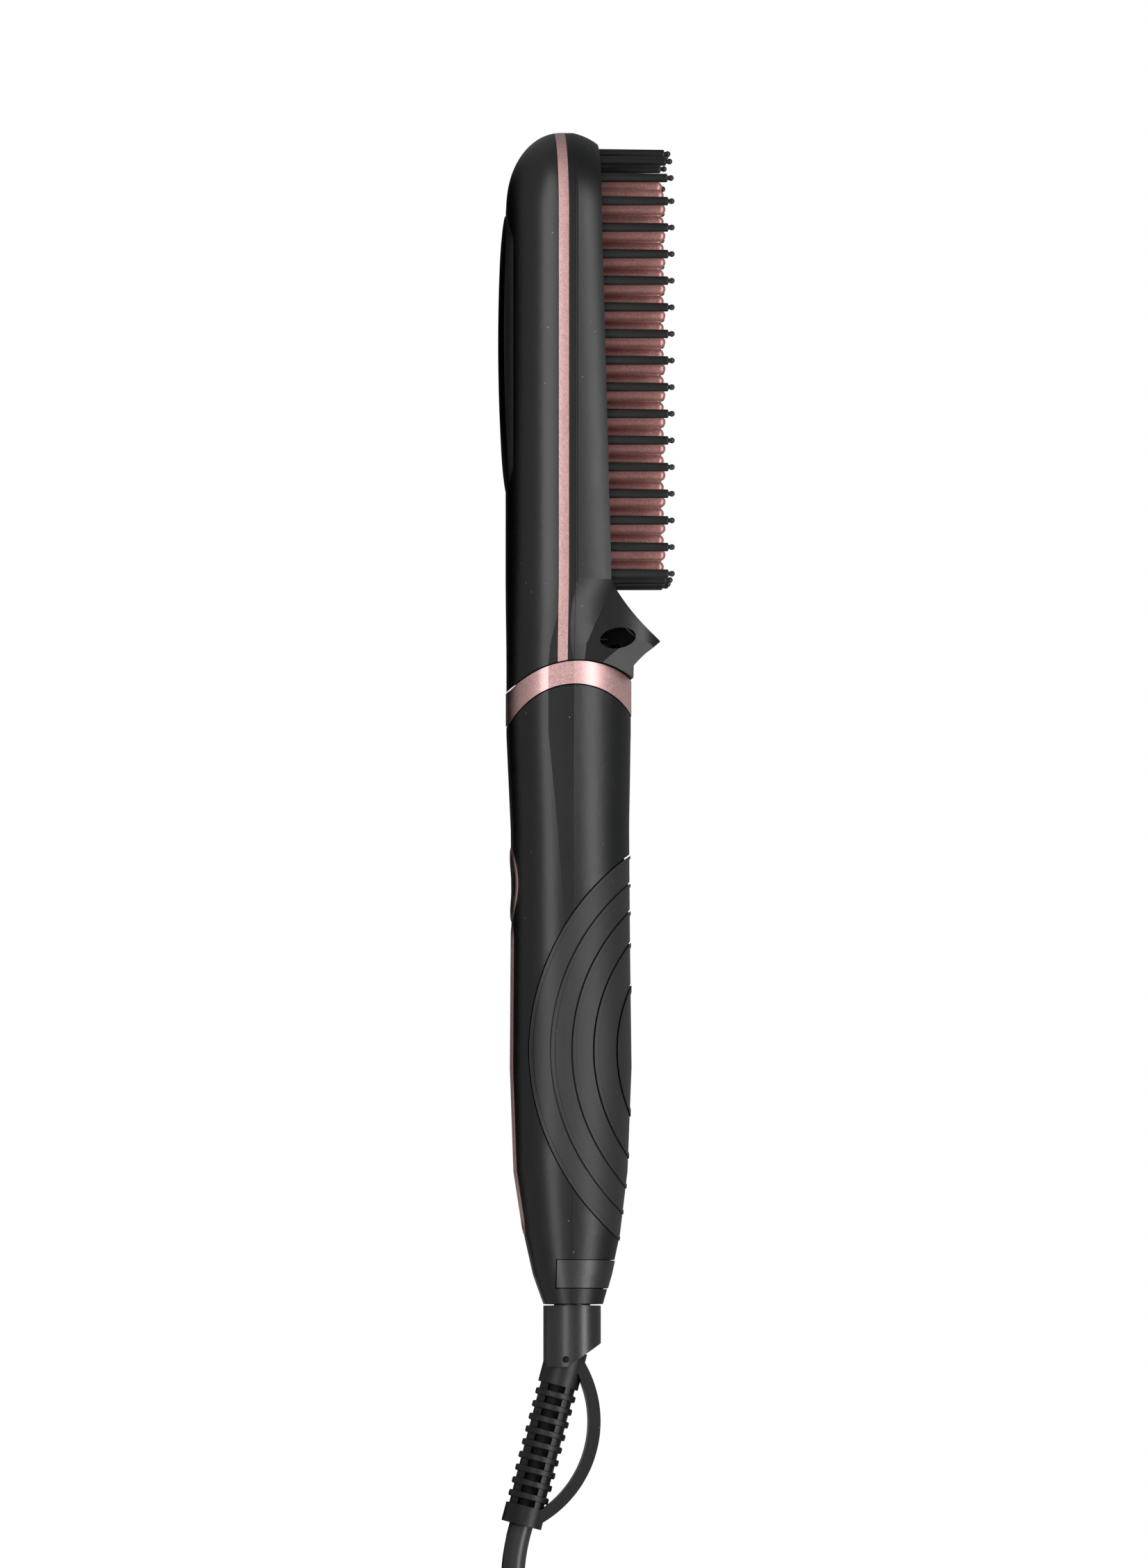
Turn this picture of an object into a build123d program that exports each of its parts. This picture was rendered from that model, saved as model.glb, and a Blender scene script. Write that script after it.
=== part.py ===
from build123d import *
from math import acos, cos, degrees, pi, radians, sin, sqrt, tan
import os

# A corded hair straightening brush lying on its back with the bristles up.
# X runs along the brush towards the crown, Z is up, Y is sideways, all in millimetres.
# The origin is under the middle of the brush, on the surface that it lies on.

# Head
HEAD_HALF_WIDTH = 22.5
HEAD_BACK = 1.5
CROWN_CENTRE_X = 153.7
NECK_X = 41.0
NECK_START_X = 24.0
FLARE_X = 64.0
FACE_LOW_X = 62.0
FACE_LOW_Z = 26.6
FACE_HIGH_Z = 24.2
HEAD_WALL = 2.2
BACK_EDGE_HEIGHT = 13.5
FACE_EDGE_RUN = 2.8
SHOULDER_Z = 18.1
SHOULDER_BENDS = (20.0, 50.0)
STRIP_LOW = 13.2
STRIP_WIDTH = 2.5

# Collar between head and handle
COLLAR_HALF_WIDTH = 18.0
COLLAR_LOW = 1.7
COLLAR_HIGH = 32.6
COLLAR_HEAD_EDGE = (37.3, 41.5, 34.5)
COLLAR_HANDLE_EDGE = (28.5, 35.9, 26.25)
COLLAR_GAP = 0.4
SADDLE_Z = 16.9

# Handle
SEAM_Z = 17.2
HANDLE_WALL = 2.7
HANDLE_END_X = -119.4
HANDLE_END_WALL = 5.4
HANDLE_STATIONS = (
    (46.0, COLLAR_HALF_WIDTH, COLLAR_LOW, COLLAR_HIGH),
    (24.0, COLLAR_HALF_WIDTH, COLLAR_LOW, COLLAR_HIGH),
    (0.0, 17.6, 2.8, 32.2),
    (-28.0, 17.3, 3.0, 32.4),
    (-60.0, 17.0, 2.8, 32.8),
    (-86.0, 15.8, 3.7, 31.8),
    (-102.0, 13.4, 6.1, 29.9),
    (-112.0, 11.2, 8.3, 27.8),
    (HANDLE_END_X, 8.8, 10.9, 25.7),
)
BACK_FLAT = 4.5
FRONT_FLAT = 3.0
BACK_CORNER_SHARE = 0.295
FRONT_CORNER_SHARE = 0.495
ROUND_BACK_SHARE = 0.42
ROUND_FRONT_SHARE = 0.565
FACET_HIGH_X = 24.0
FACET_LOW_X = -28.0
FACET_CREASE = 13.0

# Neck spigot inside the collar
SPIGOT_X = 18.0
SPIGOT_INSET = 2.3
SPIGOT_WALL = 2.0
COLLAR_PROUD = 0.15

# Fits
SNUG = 0.1
RUNNING = 0.05
CLEAR = 0.3

# Nose with the two ion outlets
NOSE_TIP = (46.9, 39.5)
NOSE_HALF_WIDTH = 17.4
OUTLET_CENTRE = (47.4, 28.4)
OUTLET_LENGTH = 9.2
OUTLET_WIDTH = 5.2
OUTLET_LEAN = 80.0
NOSE_HEEL_X = 40.7
NOSE_FOOT_X = 62.0
NOSE_RIDGE = 11.0
NOSE_ROUND = 13.0
NOSE_BEVEL_LEAN = 28.0
NOSE_BEVEL_WIDTH = 5.8
NOSE_FRONT_POINT = (43.2, 35.0)
NOSE_BACK_POINT = (54.0, 32.1)
NOSE_TIP_SINK = 1.4

# Bristles and tines
COMB_INSET = 3.4
COMB_FLANGE = 0.5
COMB_FLANGE_THICKNESS = 1.2
COMB_LOW_X = 60.0
FIELD_BOW = 1.6
FIELD_CORNER = 2.6
LOW_ROW_INSET = 1.9
BRISTLE_INSET = 5.1
BRISTLE_PITCH = 6.8
BRISTLE_RADIUS = 1.2
BRISTLE_SHOULDER_RADIUS = 1.1
BRISTLE_SHOULDER_ROUND = 0.4
BRISTLE_NECK_RADIUS = 0.55
BRISTLE_NECK_LENGTH = 0.35
BRISTLE_BALL_RADIUS = 0.75
BRISTLE_ROOT = 0.5
BRISTLE_TIP_Z = 42.7
BRISTLE_FIRST_X = 63.6
HEATER_INSET = 6.9
HEATER_LOW_X = 63.6
HEATER_THICKNESS = 1.6
HEATER_SINK = 0.3
HEATER_FLANGE = 1.4
HEATER_FLANGE_THICKNESS = 1.2
HEATER_RIM = 2.0
TINE_RADIUS = 1.45
TINE_COLLAR_RADIUS = 1.85
TINE_COLLAR_HEIGHT = 1.0
TINE_TIP_Z = 40.8
TINE_EDGE = 2.1
TINE_ROOT = 1.0
TINE_SHIFT = 2.6
TINE_ROW = 5.7
TINE_STAGGER = 2.5

# Back panel
PANEL_LOW_X = 84.0
PANEL_HIGH_X = 155.0
PANEL_HALF_WIDTH = 12.0
PANEL_RECESS = 0.9
PANEL_LOWEST_X = 124.0
PANEL_DOME_RADIUS = 480.0

# Heater stack
PTC_LENGTH = 21.0
PTC_WIDTH = 13.0
PTC_THICKNESS = 2.4
PTC_GAP = 6.0
INSULATOR_THICKNESS = 0.5
CLAMP_THICKNESS = 1.2
SENSOR_RADIUS = 1.4
SENSOR_LENGTH = 5.0
FUSE_RADIUS = 2.0
FUSE_LENGTH = 11.0
HEAD_SCREW_REACH = 30.5
HEAD_SCREW_LENGTH = 10.0
HEAD_BOSS_HEIGHT = 3.0

# Button
BUTTON_X = -13.8
BUTTON_RADIUS = 8.2
BUTTON_TRAVEL = 0.6
BUTTON_FLANGE = 1.1
BUTTON_FLANGE_THICKNESS = 1.0
RING_RADIUS = 9.35
RING_PROUD = 0.3
RING_DEPTH = 1.5
BUTTON_SEAT = 2.3
BUTTON_GAP = 0.15

# Display inlay
INLAY_LOW_X = -101.9
INLAY_HIGH_X = -24.0
INLAY_HALF_WIDTH = 4.4
INLAY_RIM = 0.9
INLAY_DEPTH = 1.2
INLAY_PROUD = 0.25
WINDOW_LENGTH = 38.0
WINDOW_WIDTH = 4.6
WINDOW_X = -62.0

# Grip and end band
GRIP_X = -56.0
GRIP_RADIUS = 60.2
GRIP_LOW_Z = 6.1
GRIP_DEPTH = 1.3
GRIP_GAP = 0.35
GRIP_STEPS = ((53.6, 65.4), (48.2, 65.3), (42.4, 65.0), (36.2, 64.9))
GRIP_RIDGE_WIDTH = 0.7
GRIP_RIDGE_PROUD = 0.25
GRIP_GROOVE_WIDTH = 0.45
GRIP_GROOVE_DEPTH = 0.35
BAND_LOW_X = -115.7
BAND_HIGH_X = -108.3
BAND_LOW_Z = 13.2
BAND_DEPTH = 1.0
BAND_PROUD = 0.15
BAND_GAP = 0.25

# Electronics
BOARD_Z = 12.0
BOARD_THICKNESS = 1.6
BOARD_LOW_X = -84.0
BOARD_HIGH_X = -3.0
BOARD_HALF_WIDTH = 9.5
POST_RADIUS = 1.8
POST_ROOT = 1.9
POST_PLACES = ((-29.0, 7.0), (-29.0, -7.0), (-80.0, 7.0), (-80.0, -7.0))
SHELL_SCREW_X = (-34.0, -90.0)
SWITCH_SIZE = 6.0
SWITCH_HEIGHT = 3.4
COMPONENT_BLOCKS = (
    (-80.0, -64.0, 6.0, 11.0),
    (-60.0, -50.0, 4.5, 8.0),
    (-27.0, -17.0, 5.0, 2.0),
    (-12.0, -5.0, 7.0, 7.0),
)
CAPACITOR_X = -44.0
CAPACITOR_RADIUS = 4.0
CAPACITOR_HEIGHT = 12.0
PLUNGER_RADIUS = 1.7
PLUNGER_HEIGHT = 0.7
SCREW_RADIUS = 1.3
SCREW_HEAD_RADIUS = 2.5
SCREW_HEAD_HEIGHT = 1.6
BOSS_RADIUS = 3.0
FRONT_BOSS_RADIUS = 4.0

ION_LOW_X = 26.0
ION_HIGH_X = 50.0
ION_HALF_WIDTH = 7.0
ION_HEIGHT = 9.0
LEAD_RADIUS = 0.9
LEAD_Y = 4.2
LEAD_BOARD_Z = 21.5
LEAD_BEND = 8.0
LEAD_TURN_X = 62.0
LEAD_END_HEAD_X = 100.0
NEEDLE_Y = 6.3
NEEDLE_RADIUS = 0.35
NEEDLE_SINK = 2.0
BAFFLE_LOW_X = 43.0
BAFFLE_HIGH_X = 52.5
BAFFLE_HALF_THICKNESS = 0.8

# Cord swivel, guard and hanging loop
SWIVEL_Z = 18.0
COLLAR_CAP_RADIUS = 7.25
COLLAR_CAP_GAP = 0.4
JOURNAL_RADIUS = 4.6
FLANGE_RADIUS = 5.7
FLANGE_THICKNESS = 1.8
HUB_RADIUS = 3.4
HUB_LENGTH = 10.0
SLIP_RING_RADIUS = 4.2
SLIP_RING_WIDTH = 2.2
SLIP_RING_PITCH = 4.2
BLOCK_LOW_X = -111.8
BLOCK_HIGH_X = -103.6
BLOCK_HALF_WIDTH = 3.4
BLOCK_TOP_Z = 24.5
BRUSH_LENGTH = 1.8
BRUSH_HEIGHT = 0.9
CAP_END_X = -135.2
CAP_TOP_X = -129.2
CAP_TOP_Z = 25.25
CAP_SLANT = 0.678
CAP_HOLE = (-133.4, 16.0)
CAP_HOLE_RADIUS = 0.85
CAP_HOLE_DEPTH = 1.6
LEAD_START = 3.0
LOOP_START = 6.2
LOOP_END = 49.6
LOOP_ROOT = 3.5
GUARD_PIVOT_X = -126.4
GUARD_LEAN = 14.8
GUARD_RADIUS = 5.15
GUARD_ROOT = 4.5
GUARD_END = 50.15
SLOT_COUNT = 10
SLOT_FIRST = 14.8
SLOT_PITCH = 3.3
SLOT_WIDTH = 1.65
WINDOW_LOW = -2.6
WINDOW_HIGH = 1.75
NOTCH_LOW = 2.95
CORE_RADIUS = 4.4
RIB_ROUND = 0.4
BRIDGE_SINK = 0.15
LOOP_CENTRE = (27.5, -16.05)
LOOP_RADIUS = 29.5
LOOP_THICKNESS = 2.9
LOOP_HALF_WIDTH = 3.6

# Cord, hank and plug
CORD_RADIUS = 3.0
LEAD_END_X = -177.5
CORD_GAP = 0.3
RUN_POINTS = (
    (-170.0, 0.0, 6.45),
    (-183.0, 0.0, 3.03),
    (-195.0, 0.4, 3.0),
    (-206.0, 4.5, 3.0),
    (-216.5, 12.0, 3.0),
    (-228.0, 20.5, 3.0),
    (-242.0, 24.3, 3.0),
    (-257.0, 24.0, 3.0),
)
HANK_NEAR_X = -239.0
HANK_RUN = 103.0
OUTER_FOLD = 24.0
INNER_FOLD = 18.0
OUTER_LAYERS = 2
INNER_LAYERS = 3
TAIL_POINTS = (
    (-266.0, -18.0, 15.0),
    (-251.0, -20.5, 15.0),
    (-230.0, -24.5, 15.3),
    (-214.5, -10.5, 16.4),
    (-214.5, 9.5, 17.9),
    (-228.0, 23.0, 19.4),
    (-246.5, 22.0, 21.2),
    (-263.5, 8.5, 23.4),
    (-279.0, 0.0, 24.85),
    (-294.0, 0.0, 24.85),
)
TIE_X = -345.0
TIE_WIDTH = 12.0
TIE_THICKNESS = 0.8
PLUG_X = -287.0
PLUG_BOOT = 13.0
PLUG_LENGTH = 25.0
PLUG_WIDTH = 35.0
PLUG_THICKNESS = 13.7
PIN_RADIUS = 2.0
PIN_LENGTH = 19.0
PIN_SPACING = 18.6
PIN_TIP = 1.4
BOOT_WALL = 0.8
BOOT_TAPER = -4.0
PLUG_WAIST_WIDTH = 14.7
PLUG_WAIST_THICKNESS = 11.0
PLUG_CORNER = 4.8
PLUG_GRIP_LENGTH = 10.0
REACH = 60.0

# Places worked out from the sizes above
strip_high = STRIP_LOW + STRIP_WIDTH
face_slope = (FACE_LOW_Z - FACE_HIGH_Z) / (CROWN_CENTRE_X - FACE_LOW_X)
guard_axis = (-cos(radians(GUARD_LEAN)), 0, -sin(radians(GUARD_LEAN)))
guard_plane = Plane(
    origin=(GUARD_PIVOT_X, 0, SWIVEL_Z),
    x_dir=(-sin(radians(GUARD_LEAN)), 0, cos(radians(GUARD_LEAN))),
    z_dir=guard_axis,
)
face_plane = Plane(
    origin=(FACE_LOW_X, 0, FACE_LOW_Z), x_dir=(1, 0, -face_slope), z_dir=(face_slope, 0, 1)
)
cavity_end_x = HANDLE_END_X + HANDLE_END_WALL
hank_far_x = HANK_NEAR_X - HANK_RUN
plug_z = 2 * INNER_LAYERS * CORD_RADIUS + PLUG_THICKNESS / 2

os.makedirs("parts", exist_ok=True)


def finish(part, name):
    """Label one finished piece and write it."""
    part.label = name
    export_step(part, f"parts/{name}.step")


def corner_arc(side, flat, end_z, height, bends):
    """Arc of an ellipse from the side to the back or face: centre, half axes, for its two bends."""
    near, far = (radians(bend) for bend in bends)
    across = (side - flat) / (cos(near) - cos(far))
    rise = height / (sin(far) - sin(near))
    return (side - across * cos(near), end_z - rise * sin(far)), across, abs(rise)


def section(x, half_width, low, high, flats, corners, inset, crease=0.0, face_bends=(0.0, 90.0), half=False):
    """Cross-section at x: flats are the half widths of back and face, corners their edge heights.

    The back's arc leaves the side at the crease angle; the face's arc runs between its two bends.
    """
    width = half_width - inset
    bottom = low + inset
    top = high - inset
    back_flat, face_flat = flats
    back_corner = corners[0] - inset
    face_corner = corners[1] - inset
    start, end = face_bends
    with BuildSketch(Plane.YZ.offset(x)) as sketch:
        with BuildLine():
            Line((0, bottom), (back_flat, bottom))
            EllipticalCenterArc(
                *corner_arc(width, back_flat, bottom, -back_corner, (crease, 90.0)), -90, arc_size=90 - crease
            )
            Line((width, bottom + back_corner), (width, top - face_corner))
            EllipticalCenterArc(
                *corner_arc(width, face_flat, top, face_corner, face_bends), start, arc_size=end - start
            )
            Line((face_flat, top), (0, top))
            if half:
                Line((0, top), (0, bottom))
            else:
                mirror(about=Plane.YZ)
        make_face()
    return sketch.sketch


def handle_section(x, half_width, low, high, inset):
    """Handle section at x, or one drawn in by inset: the collar's flat side fades out below it."""
    height = high - low
    share = half_width / COLLAR_HALF_WIDTH
    facet = min(1.0, max(0.0, (x - FACET_LOW_X) / (FACET_HIGH_X - FACET_LOW_X)))
    corners = (
        (ROUND_BACK_SHARE + (BACK_CORNER_SHARE - ROUND_BACK_SHARE) * facet) * height,
        (ROUND_FRONT_SHARE + (FRONT_CORNER_SHARE - ROUND_FRONT_SHARE) * facet) * height,
    )
    crease = FACET_CREASE * facet
    flats = (BACK_FLAT * share, FRONT_FLAT * share)
    return section(x, half_width, low, high, flats, corners, inset, crease, (crease, 90.0))


def handle_solid(inset):
    """The handle's outer form, or one drawn in by inset all round."""
    with BuildPart() as form:
        loft(sections=[handle_section(*station, inset) for station in HANDLE_STATIONS], ruled=True)
    return form.part


def head_section(x, inset, half=False):
    """Head section at x, which runs from the collar's round face to the flat bristle face."""
    flare = min(1.0, max(0.0, (x - NECK_X) / (FLARE_X - NECK_X)))
    ease = flare * flare * (3 - 2 * flare)
    flatten = min(1.0, max(0.0, (x - NECK_X) / (FACE_LOW_X - NECK_X)))
    half_width = COLLAR_HALF_WIDTH + (HEAD_HALF_WIDTH - COLLAR_HALF_WIDTH) * ease
    low = COLLAR_LOW + (HEAD_BACK - COLLAR_LOW) * ease
    face = FACE_LOW_Z - face_slope * (x - FACE_LOW_X)
    high = COLLAR_HIGH + (face - COLLAR_HIGH) * flatten
    height = COLLAR_HIGH - COLLAR_LOW
    back_corner = BACK_CORNER_SHARE * height * (1 - ease) + BACK_EDGE_HEIGHT * ease
    face_corner = FRONT_CORNER_SHARE * height * (1 - flatten) + (high - SHOULDER_Z) * flatten
    face_flat = FRONT_FLAT * (1 - flatten) + (half_width - FACE_EDGE_RUN) * flatten
    start = FACET_CREASE + (SHOULDER_BENDS[0] - FACET_CREASE) * flatten
    end = 90.0 + (SHOULDER_BENDS[1] - 90.0) * flatten
    return section(x, half_width, low, high, (BACK_FLAT, face_flat), (back_corner, face_corner), inset,
                   FACET_CREASE * (1 - ease), (start, end), half)


def head_solid(inset):
    """The head's outer form without its nose, or one drawn in by inset."""
    stations = (NECK_START_X, NECK_X, 46.0, 51.0, 56.0, FACE_LOW_X, FLARE_X, CROWN_CENTRE_X)
    with BuildPart() as form:
        loft(sections=[head_section(x, inset) for x in stations], ruled=True)
    with BuildPart() as crown:
        add(head_section(CROWN_CENTRE_X, inset, half=True))
        revolve(axis=Axis((CROWN_CENTRE_X, 0, 0), (0, 0, -1)), revolution_arc=180)
    return form.part + crown.part


def beyond_saddle(edge, shift, far_x):
    """Everything on one side of a saddle-shaped cut, whose edge lies at (face, side, back)."""
    face_x, side_x, back_x = (x + shift for x in edge)
    with BuildPart() as side:
        with BuildSketch(Plane.XZ):
            with BuildLine():
                ThreePointArc((back_x, COLLAR_LOW), (side_x, SADDLE_Z), (face_x, COLLAR_HIGH))
                Polyline(
                    (face_x, COLLAR_HIGH), (face_x, REACH), (far_x, REACH),
                    (far_x, -REACH), (back_x, -REACH), (back_x, COLLAR_LOW),
                )
            make_face()
        extrude(amount=REACH, both=True)
    return side.part


def handle_at(x):
    """The handle's lowest and highest z at x."""
    for (x_a, _, low_a, high_a), (x_b, _, low_b, high_b) in zip(HANDLE_STATIONS, HANDLE_STATIONS[1:]):
        if x_b <= x <= x_a:
            share = (x - x_a) / (x_b - x_a)
            return low_a + (low_b - low_a) * share, high_a + (high_b - high_a) * share


def face_z(x):
    """Height of the bristle face at x."""
    return FACE_LOW_Z - face_slope * (x - FACE_LOW_X)


def field(half_width, low_x):
    """A face that follows the crown's outline, with a bowed low end."""
    with BuildSketch() as outline:
        with BuildLine():
            Line((low_x + FIELD_BOW, half_width), (CROWN_CENTRE_X, half_width))
            ThreePointArc(
                (CROWN_CENTRE_X, half_width),
                (CROWN_CENTRE_X + half_width, 0),
                (CROWN_CENTRE_X, -half_width),
            )
            Line((CROWN_CENTRE_X, -half_width), (low_x + FIELD_BOW, -half_width))
            ThreePointArc(
                (low_x + FIELD_BOW, -half_width), (low_x, 0), (low_x + FIELD_BOW, half_width)
            )
        make_face()
        fillet(outline.vertices().group_by(Axis.X)[0], radius=FIELD_CORNER)
    return outline.sketch


def plate(outline, top, thickness):
    """A plate with upright walls between two planes parallel to the bristle face."""
    with BuildPart() as slab:
        with BuildSketch(Plane.XY):
            add(outline)
        extrude(amount=REACH)
        with BuildSketch(face_plane.offset(-top - thickness)):
            Rectangle(6 * REACH, 2 * REACH)
        extrude(amount=thickness, mode=Mode.INTERSECT)
    return slab.part


def layer(outer_inset, inner_inset, region):
    """The skin of the handle between two depths, inside a region."""
    with BuildPart() as skin:
        add(handle_solid(outer_inset))
        add(handle_solid(inner_inset), mode=Mode.SUBTRACT)
        add(region, mode=Mode.INTERSECT)
    return skin.part


def bristle(height):
    """One nylon bristle, standing on its root, with a small ball on a neck at its tip."""
    ball_z = height - BRISTLE_BALL_RADIUS
    joint_angle = degrees(acos(BRISTLE_NECK_RADIUS / BRISTLE_BALL_RADIUS))
    joint_z = ball_z - sqrt(BRISTLE_BALL_RADIUS**2 - BRISTLE_NECK_RADIUS**2)
    shoulder_z = joint_z - BRISTLE_NECK_LENGTH
    round_z = shoulder_z - BRISTLE_SHOULDER_ROUND
    round_x = BRISTLE_SHOULDER_RADIUS - BRISTLE_SHOULDER_ROUND
    with BuildPart() as rod:
        with BuildSketch(Plane.XZ):
            with BuildLine():
                Polyline((0, height), (0, 0), (BRISTLE_RADIUS, 0), (BRISTLE_SHOULDER_RADIUS, round_z))
                CenterArc((round_x, round_z), BRISTLE_SHOULDER_ROUND, 0, 90)
                Polyline(
                    (round_x, shoulder_z), (BRISTLE_NECK_RADIUS, shoulder_z), (BRISTLE_NECK_RADIUS, joint_z)
                )
                CenterArc((0, ball_z), BRISTLE_BALL_RADIUS, -joint_angle, 90 + joint_angle)
            make_face()
        revolve(axis=Axis.Z)
    return rod.part


def tine(height):
    """One heated tine, standing on its root, with a foot collar and a round tip."""
    foot = TINE_ROOT + TINE_COLLAR_HEIGHT
    with BuildPart() as rod:
        with BuildSketch(Plane.XZ):
            with BuildLine():
                Polyline(
                    (0, 0), (TINE_COLLAR_RADIUS, 0), (TINE_COLLAR_RADIUS, foot), (TINE_RADIUS, foot),
                    (TINE_RADIUS, height - TINE_RADIUS),
                )
                CenterArc((0, height - TINE_RADIUS), TINE_RADIUS, 0, 90)
                Line((0, height), (0, 0))
            make_face()
        revolve(axis=Axis.Z)
    return rod.part


def upright(x, y, radius, low, high):
    """A round pin or hole standing at x, y."""
    with BuildPart() as column:
        with BuildSketch(Plane.XY.offset(low)):
            with Locations((x, y)):
                Circle(radius)
        extrude(amount=high - low)
    return column.part


def lying(radius, x_from, x_to, y=0.0, z=0.0):
    """A round bar or bore along the brush."""
    with BuildPart() as bar:
        with BuildSketch(Plane.YZ.offset(x_from)):
            with Locations((y, z)):
                Circle(radius)
        extrude(amount=x_to - x_from)
    return bar.part


def block(x_from, x_to, half_width, z_from, z_to):
    """A plain block about the middle plane."""
    with BuildPart() as solid:
        with BuildSketch(Plane.XY.offset(z_from)):
            with Locations(((x_from + x_to) / 2, 0)):
                Rectangle(abs(x_to - x_from), 2 * half_width)
        extrude(amount=z_to - z_from)
    return solid.part


def cord_tube(points, label):
    """A round cord along straight runs and tangent arcs, each as large as its runs allow."""
    stops = [Vector(*point) for point in points]
    radii = []
    for before, corner, after in zip(stops, stops[1:], stops[2:]):
        shorter = min((corner - before).length, (after - corner).length)
        half_turn = radians((corner - before).get_angle(after - corner)) / 2
        radii.append(0.45 * shorter / tan(half_turn))
    with BuildPart() as tube:
        with BuildLine() as route:
            FilletPolyline(*stops, radius=radii)
        with BuildSketch(Plane(origin=stops[0], z_dir=stops[1] - stops[0])):
            Circle(CORD_RADIUS)
        sweep()
    length = route.wires()[0].length
    expected = pi * CORD_RADIUS**2 * length
    print(label, "length", round(length, 1), "radii", [round(radius, 1) for radius in radii],
          "volume ratio", round(tube.part.volume / expected, 4))
    return tube.part


# Head shell, its seams and the nose
head_region = beyond_saddle(COLLAR_HEAD_EDGE, COLLAR_GAP, 2 * REACH + CROWN_CENTRE_X)
with BuildPart() as head_shell:
    add(head_solid(0.0))
    add(head_solid(HEAD_WALL), mode=Mode.SUBTRACT)
    add(head_region, mode=Mode.INTERSECT)

panel_middle_x = (PANEL_LOW_X + PANEL_HIGH_X) / 2
panel_length = PANEL_HIGH_X - PANEL_LOW_X
panel_seat_z = HEAD_BACK + PANEL_RECESS
head_screw_places = [(panel_middle_x - HEAD_SCREW_REACH, 0), (panel_middle_x + HEAD_SCREW_REACH, 0)]

with BuildPart() as head_back_cover:
    add(head_shell.part)
    split(bisect_by=Plane.XY.offset(STRIP_LOW), keep=Keep.BOTTOM)
    for x, y in head_screw_places:
        add(upright(x, y, BOSS_RADIUS, HEAD_BACK + HEAD_WALL, HEAD_BACK + HEAD_WALL + HEAD_BOSS_HEIGHT))
    with BuildSketch(Plane.XY.offset(panel_seat_z)):
        with Locations((panel_middle_x, 0)):
            SlotOverall(panel_length + 2 * SNUG, 2 * (PANEL_HALF_WIDTH + SNUG))
    extrude(amount=-REACH, mode=Mode.SUBTRACT)
    for x, y in head_screw_places:
        add(upright(x, y, SCREW_HEAD_RADIUS + SNUG, 0, panel_seat_z + SCREW_HEAD_HEIGHT),
            mode=Mode.SUBTRACT)
        add(upright(x, y, SCREW_RADIUS + SNUG, 0, REACH), mode=Mode.SUBTRACT)
finish(head_back_cover.part, "head_back_cover")

with BuildPart() as side_trim_strip:
    add(head_shell.part)
    split(bisect_by=Plane.XY.offset(STRIP_LOW), keep=Keep.TOP)
    split(bisect_by=Plane.XY.offset(strip_high), keep=Keep.BOTTOM)
finish(side_trim_strip.part, "side_trim_strip")


def nose_form(inset):
    """The pointed ridge at the foot of the bristle face, or its hollow."""
    back_x = COLLAR_HEAD_EDGE[0] + COLLAR_GAP + inset
    low = strip_high + HEAD_WALL
    heel = (NOSE_HEEL_X + inset / 2, COLLAR_HIGH - inset)
    tip = (NOSE_TIP[0], NOSE_TIP[1] - NOSE_TIP_SINK * inset)
    foot = (NOSE_FOOT_X - inset, FACE_LOW_Z - inset)
    front_x, front_z = NOSE_FRONT_POINT
    rear_x, rear_z = NOSE_BACK_POINT
    with BuildPart() as ridge:
        with BuildSketch(Plane.XZ):
            with BuildLine():
                ThreePointArc(heel, (front_x + inset / 3, front_z - inset), tip)
                ThreePointArc(tip, (rear_x - inset / 2, rear_z - inset), foot)
                Polyline(foot, (foot[0], low), (back_x, low), (back_x, heel[1]), heel)
            make_face()
        extrude(amount=REACH, both=True)
    slope = Vector(NOSE_TIP[0] - NOSE_HEEL_X, 0, NOSE_TIP[1] - COLLAR_HIGH).normalized()
    outward = Vector(-slope.Z, 0, slope.X)
    facing = outward * sin(radians(NOSE_BEVEL_LEAN)) + Vector(0, 1, 0) * cos(radians(NOSE_BEVEL_LEAN))
    bevel_edge = Vector(NOSE_TIP[0], NOSE_HALF_WIDTH, NOSE_TIP[1]) - outward * NOSE_BEVEL_WIDTH
    with BuildPart() as arch:
        add(section(0.0, NOSE_HALF_WIDTH, COLLAR_LOW, NOSE_TIP[1], (BACK_FLAT, NOSE_RIDGE - inset / 2),
                    (BACK_EDGE_HEIGHT, NOSE_ROUND), inset))
        extrude(amount=2 * REACH, dir=(1, 0, 0))
        add(ridge.part, mode=Mode.INTERSECT)
        split(bisect_by=Plane(origin=bevel_edge - facing * inset, z_dir=facing), keep=Keep.BOTTOM)
        mirror(about=Plane.XZ, mode=Mode.INTERSECT)
    return arch.part


comb_opening = field(HEAD_HALF_WIDTH - COMB_INSET, COMB_LOW_X)
with BuildPart() as head_front_housing:
    add(head_shell.part)
    split(bisect_by=Plane.XY.offset(strip_high), keep=Keep.TOP)
    add(nose_form(0.0))
    add(head_solid(HEAD_WALL), mode=Mode.SUBTRACT)
    add(nose_form(HEAD_WALL), mode=Mode.SUBTRACT)
    add(head_region, mode=Mode.INTERSECT)
    with BuildSketch(Plane.XY.offset(strip_high + HEAD_WALL)):
        add(comb_opening)
    extrude(amount=REACH, mode=Mode.SUBTRACT)
    with BuildSketch(Plane.XZ):
        with Locations(Location((*OUTLET_CENTRE, 0), OUTLET_LEAN)):
            Ellipse(OUTLET_LENGTH / 2, OUTLET_WIDTH / 2)
    extrude(amount=REACH, both=True, mode=Mode.SUBTRACT)
finish(head_front_housing.part, "head_front_housing")

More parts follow.
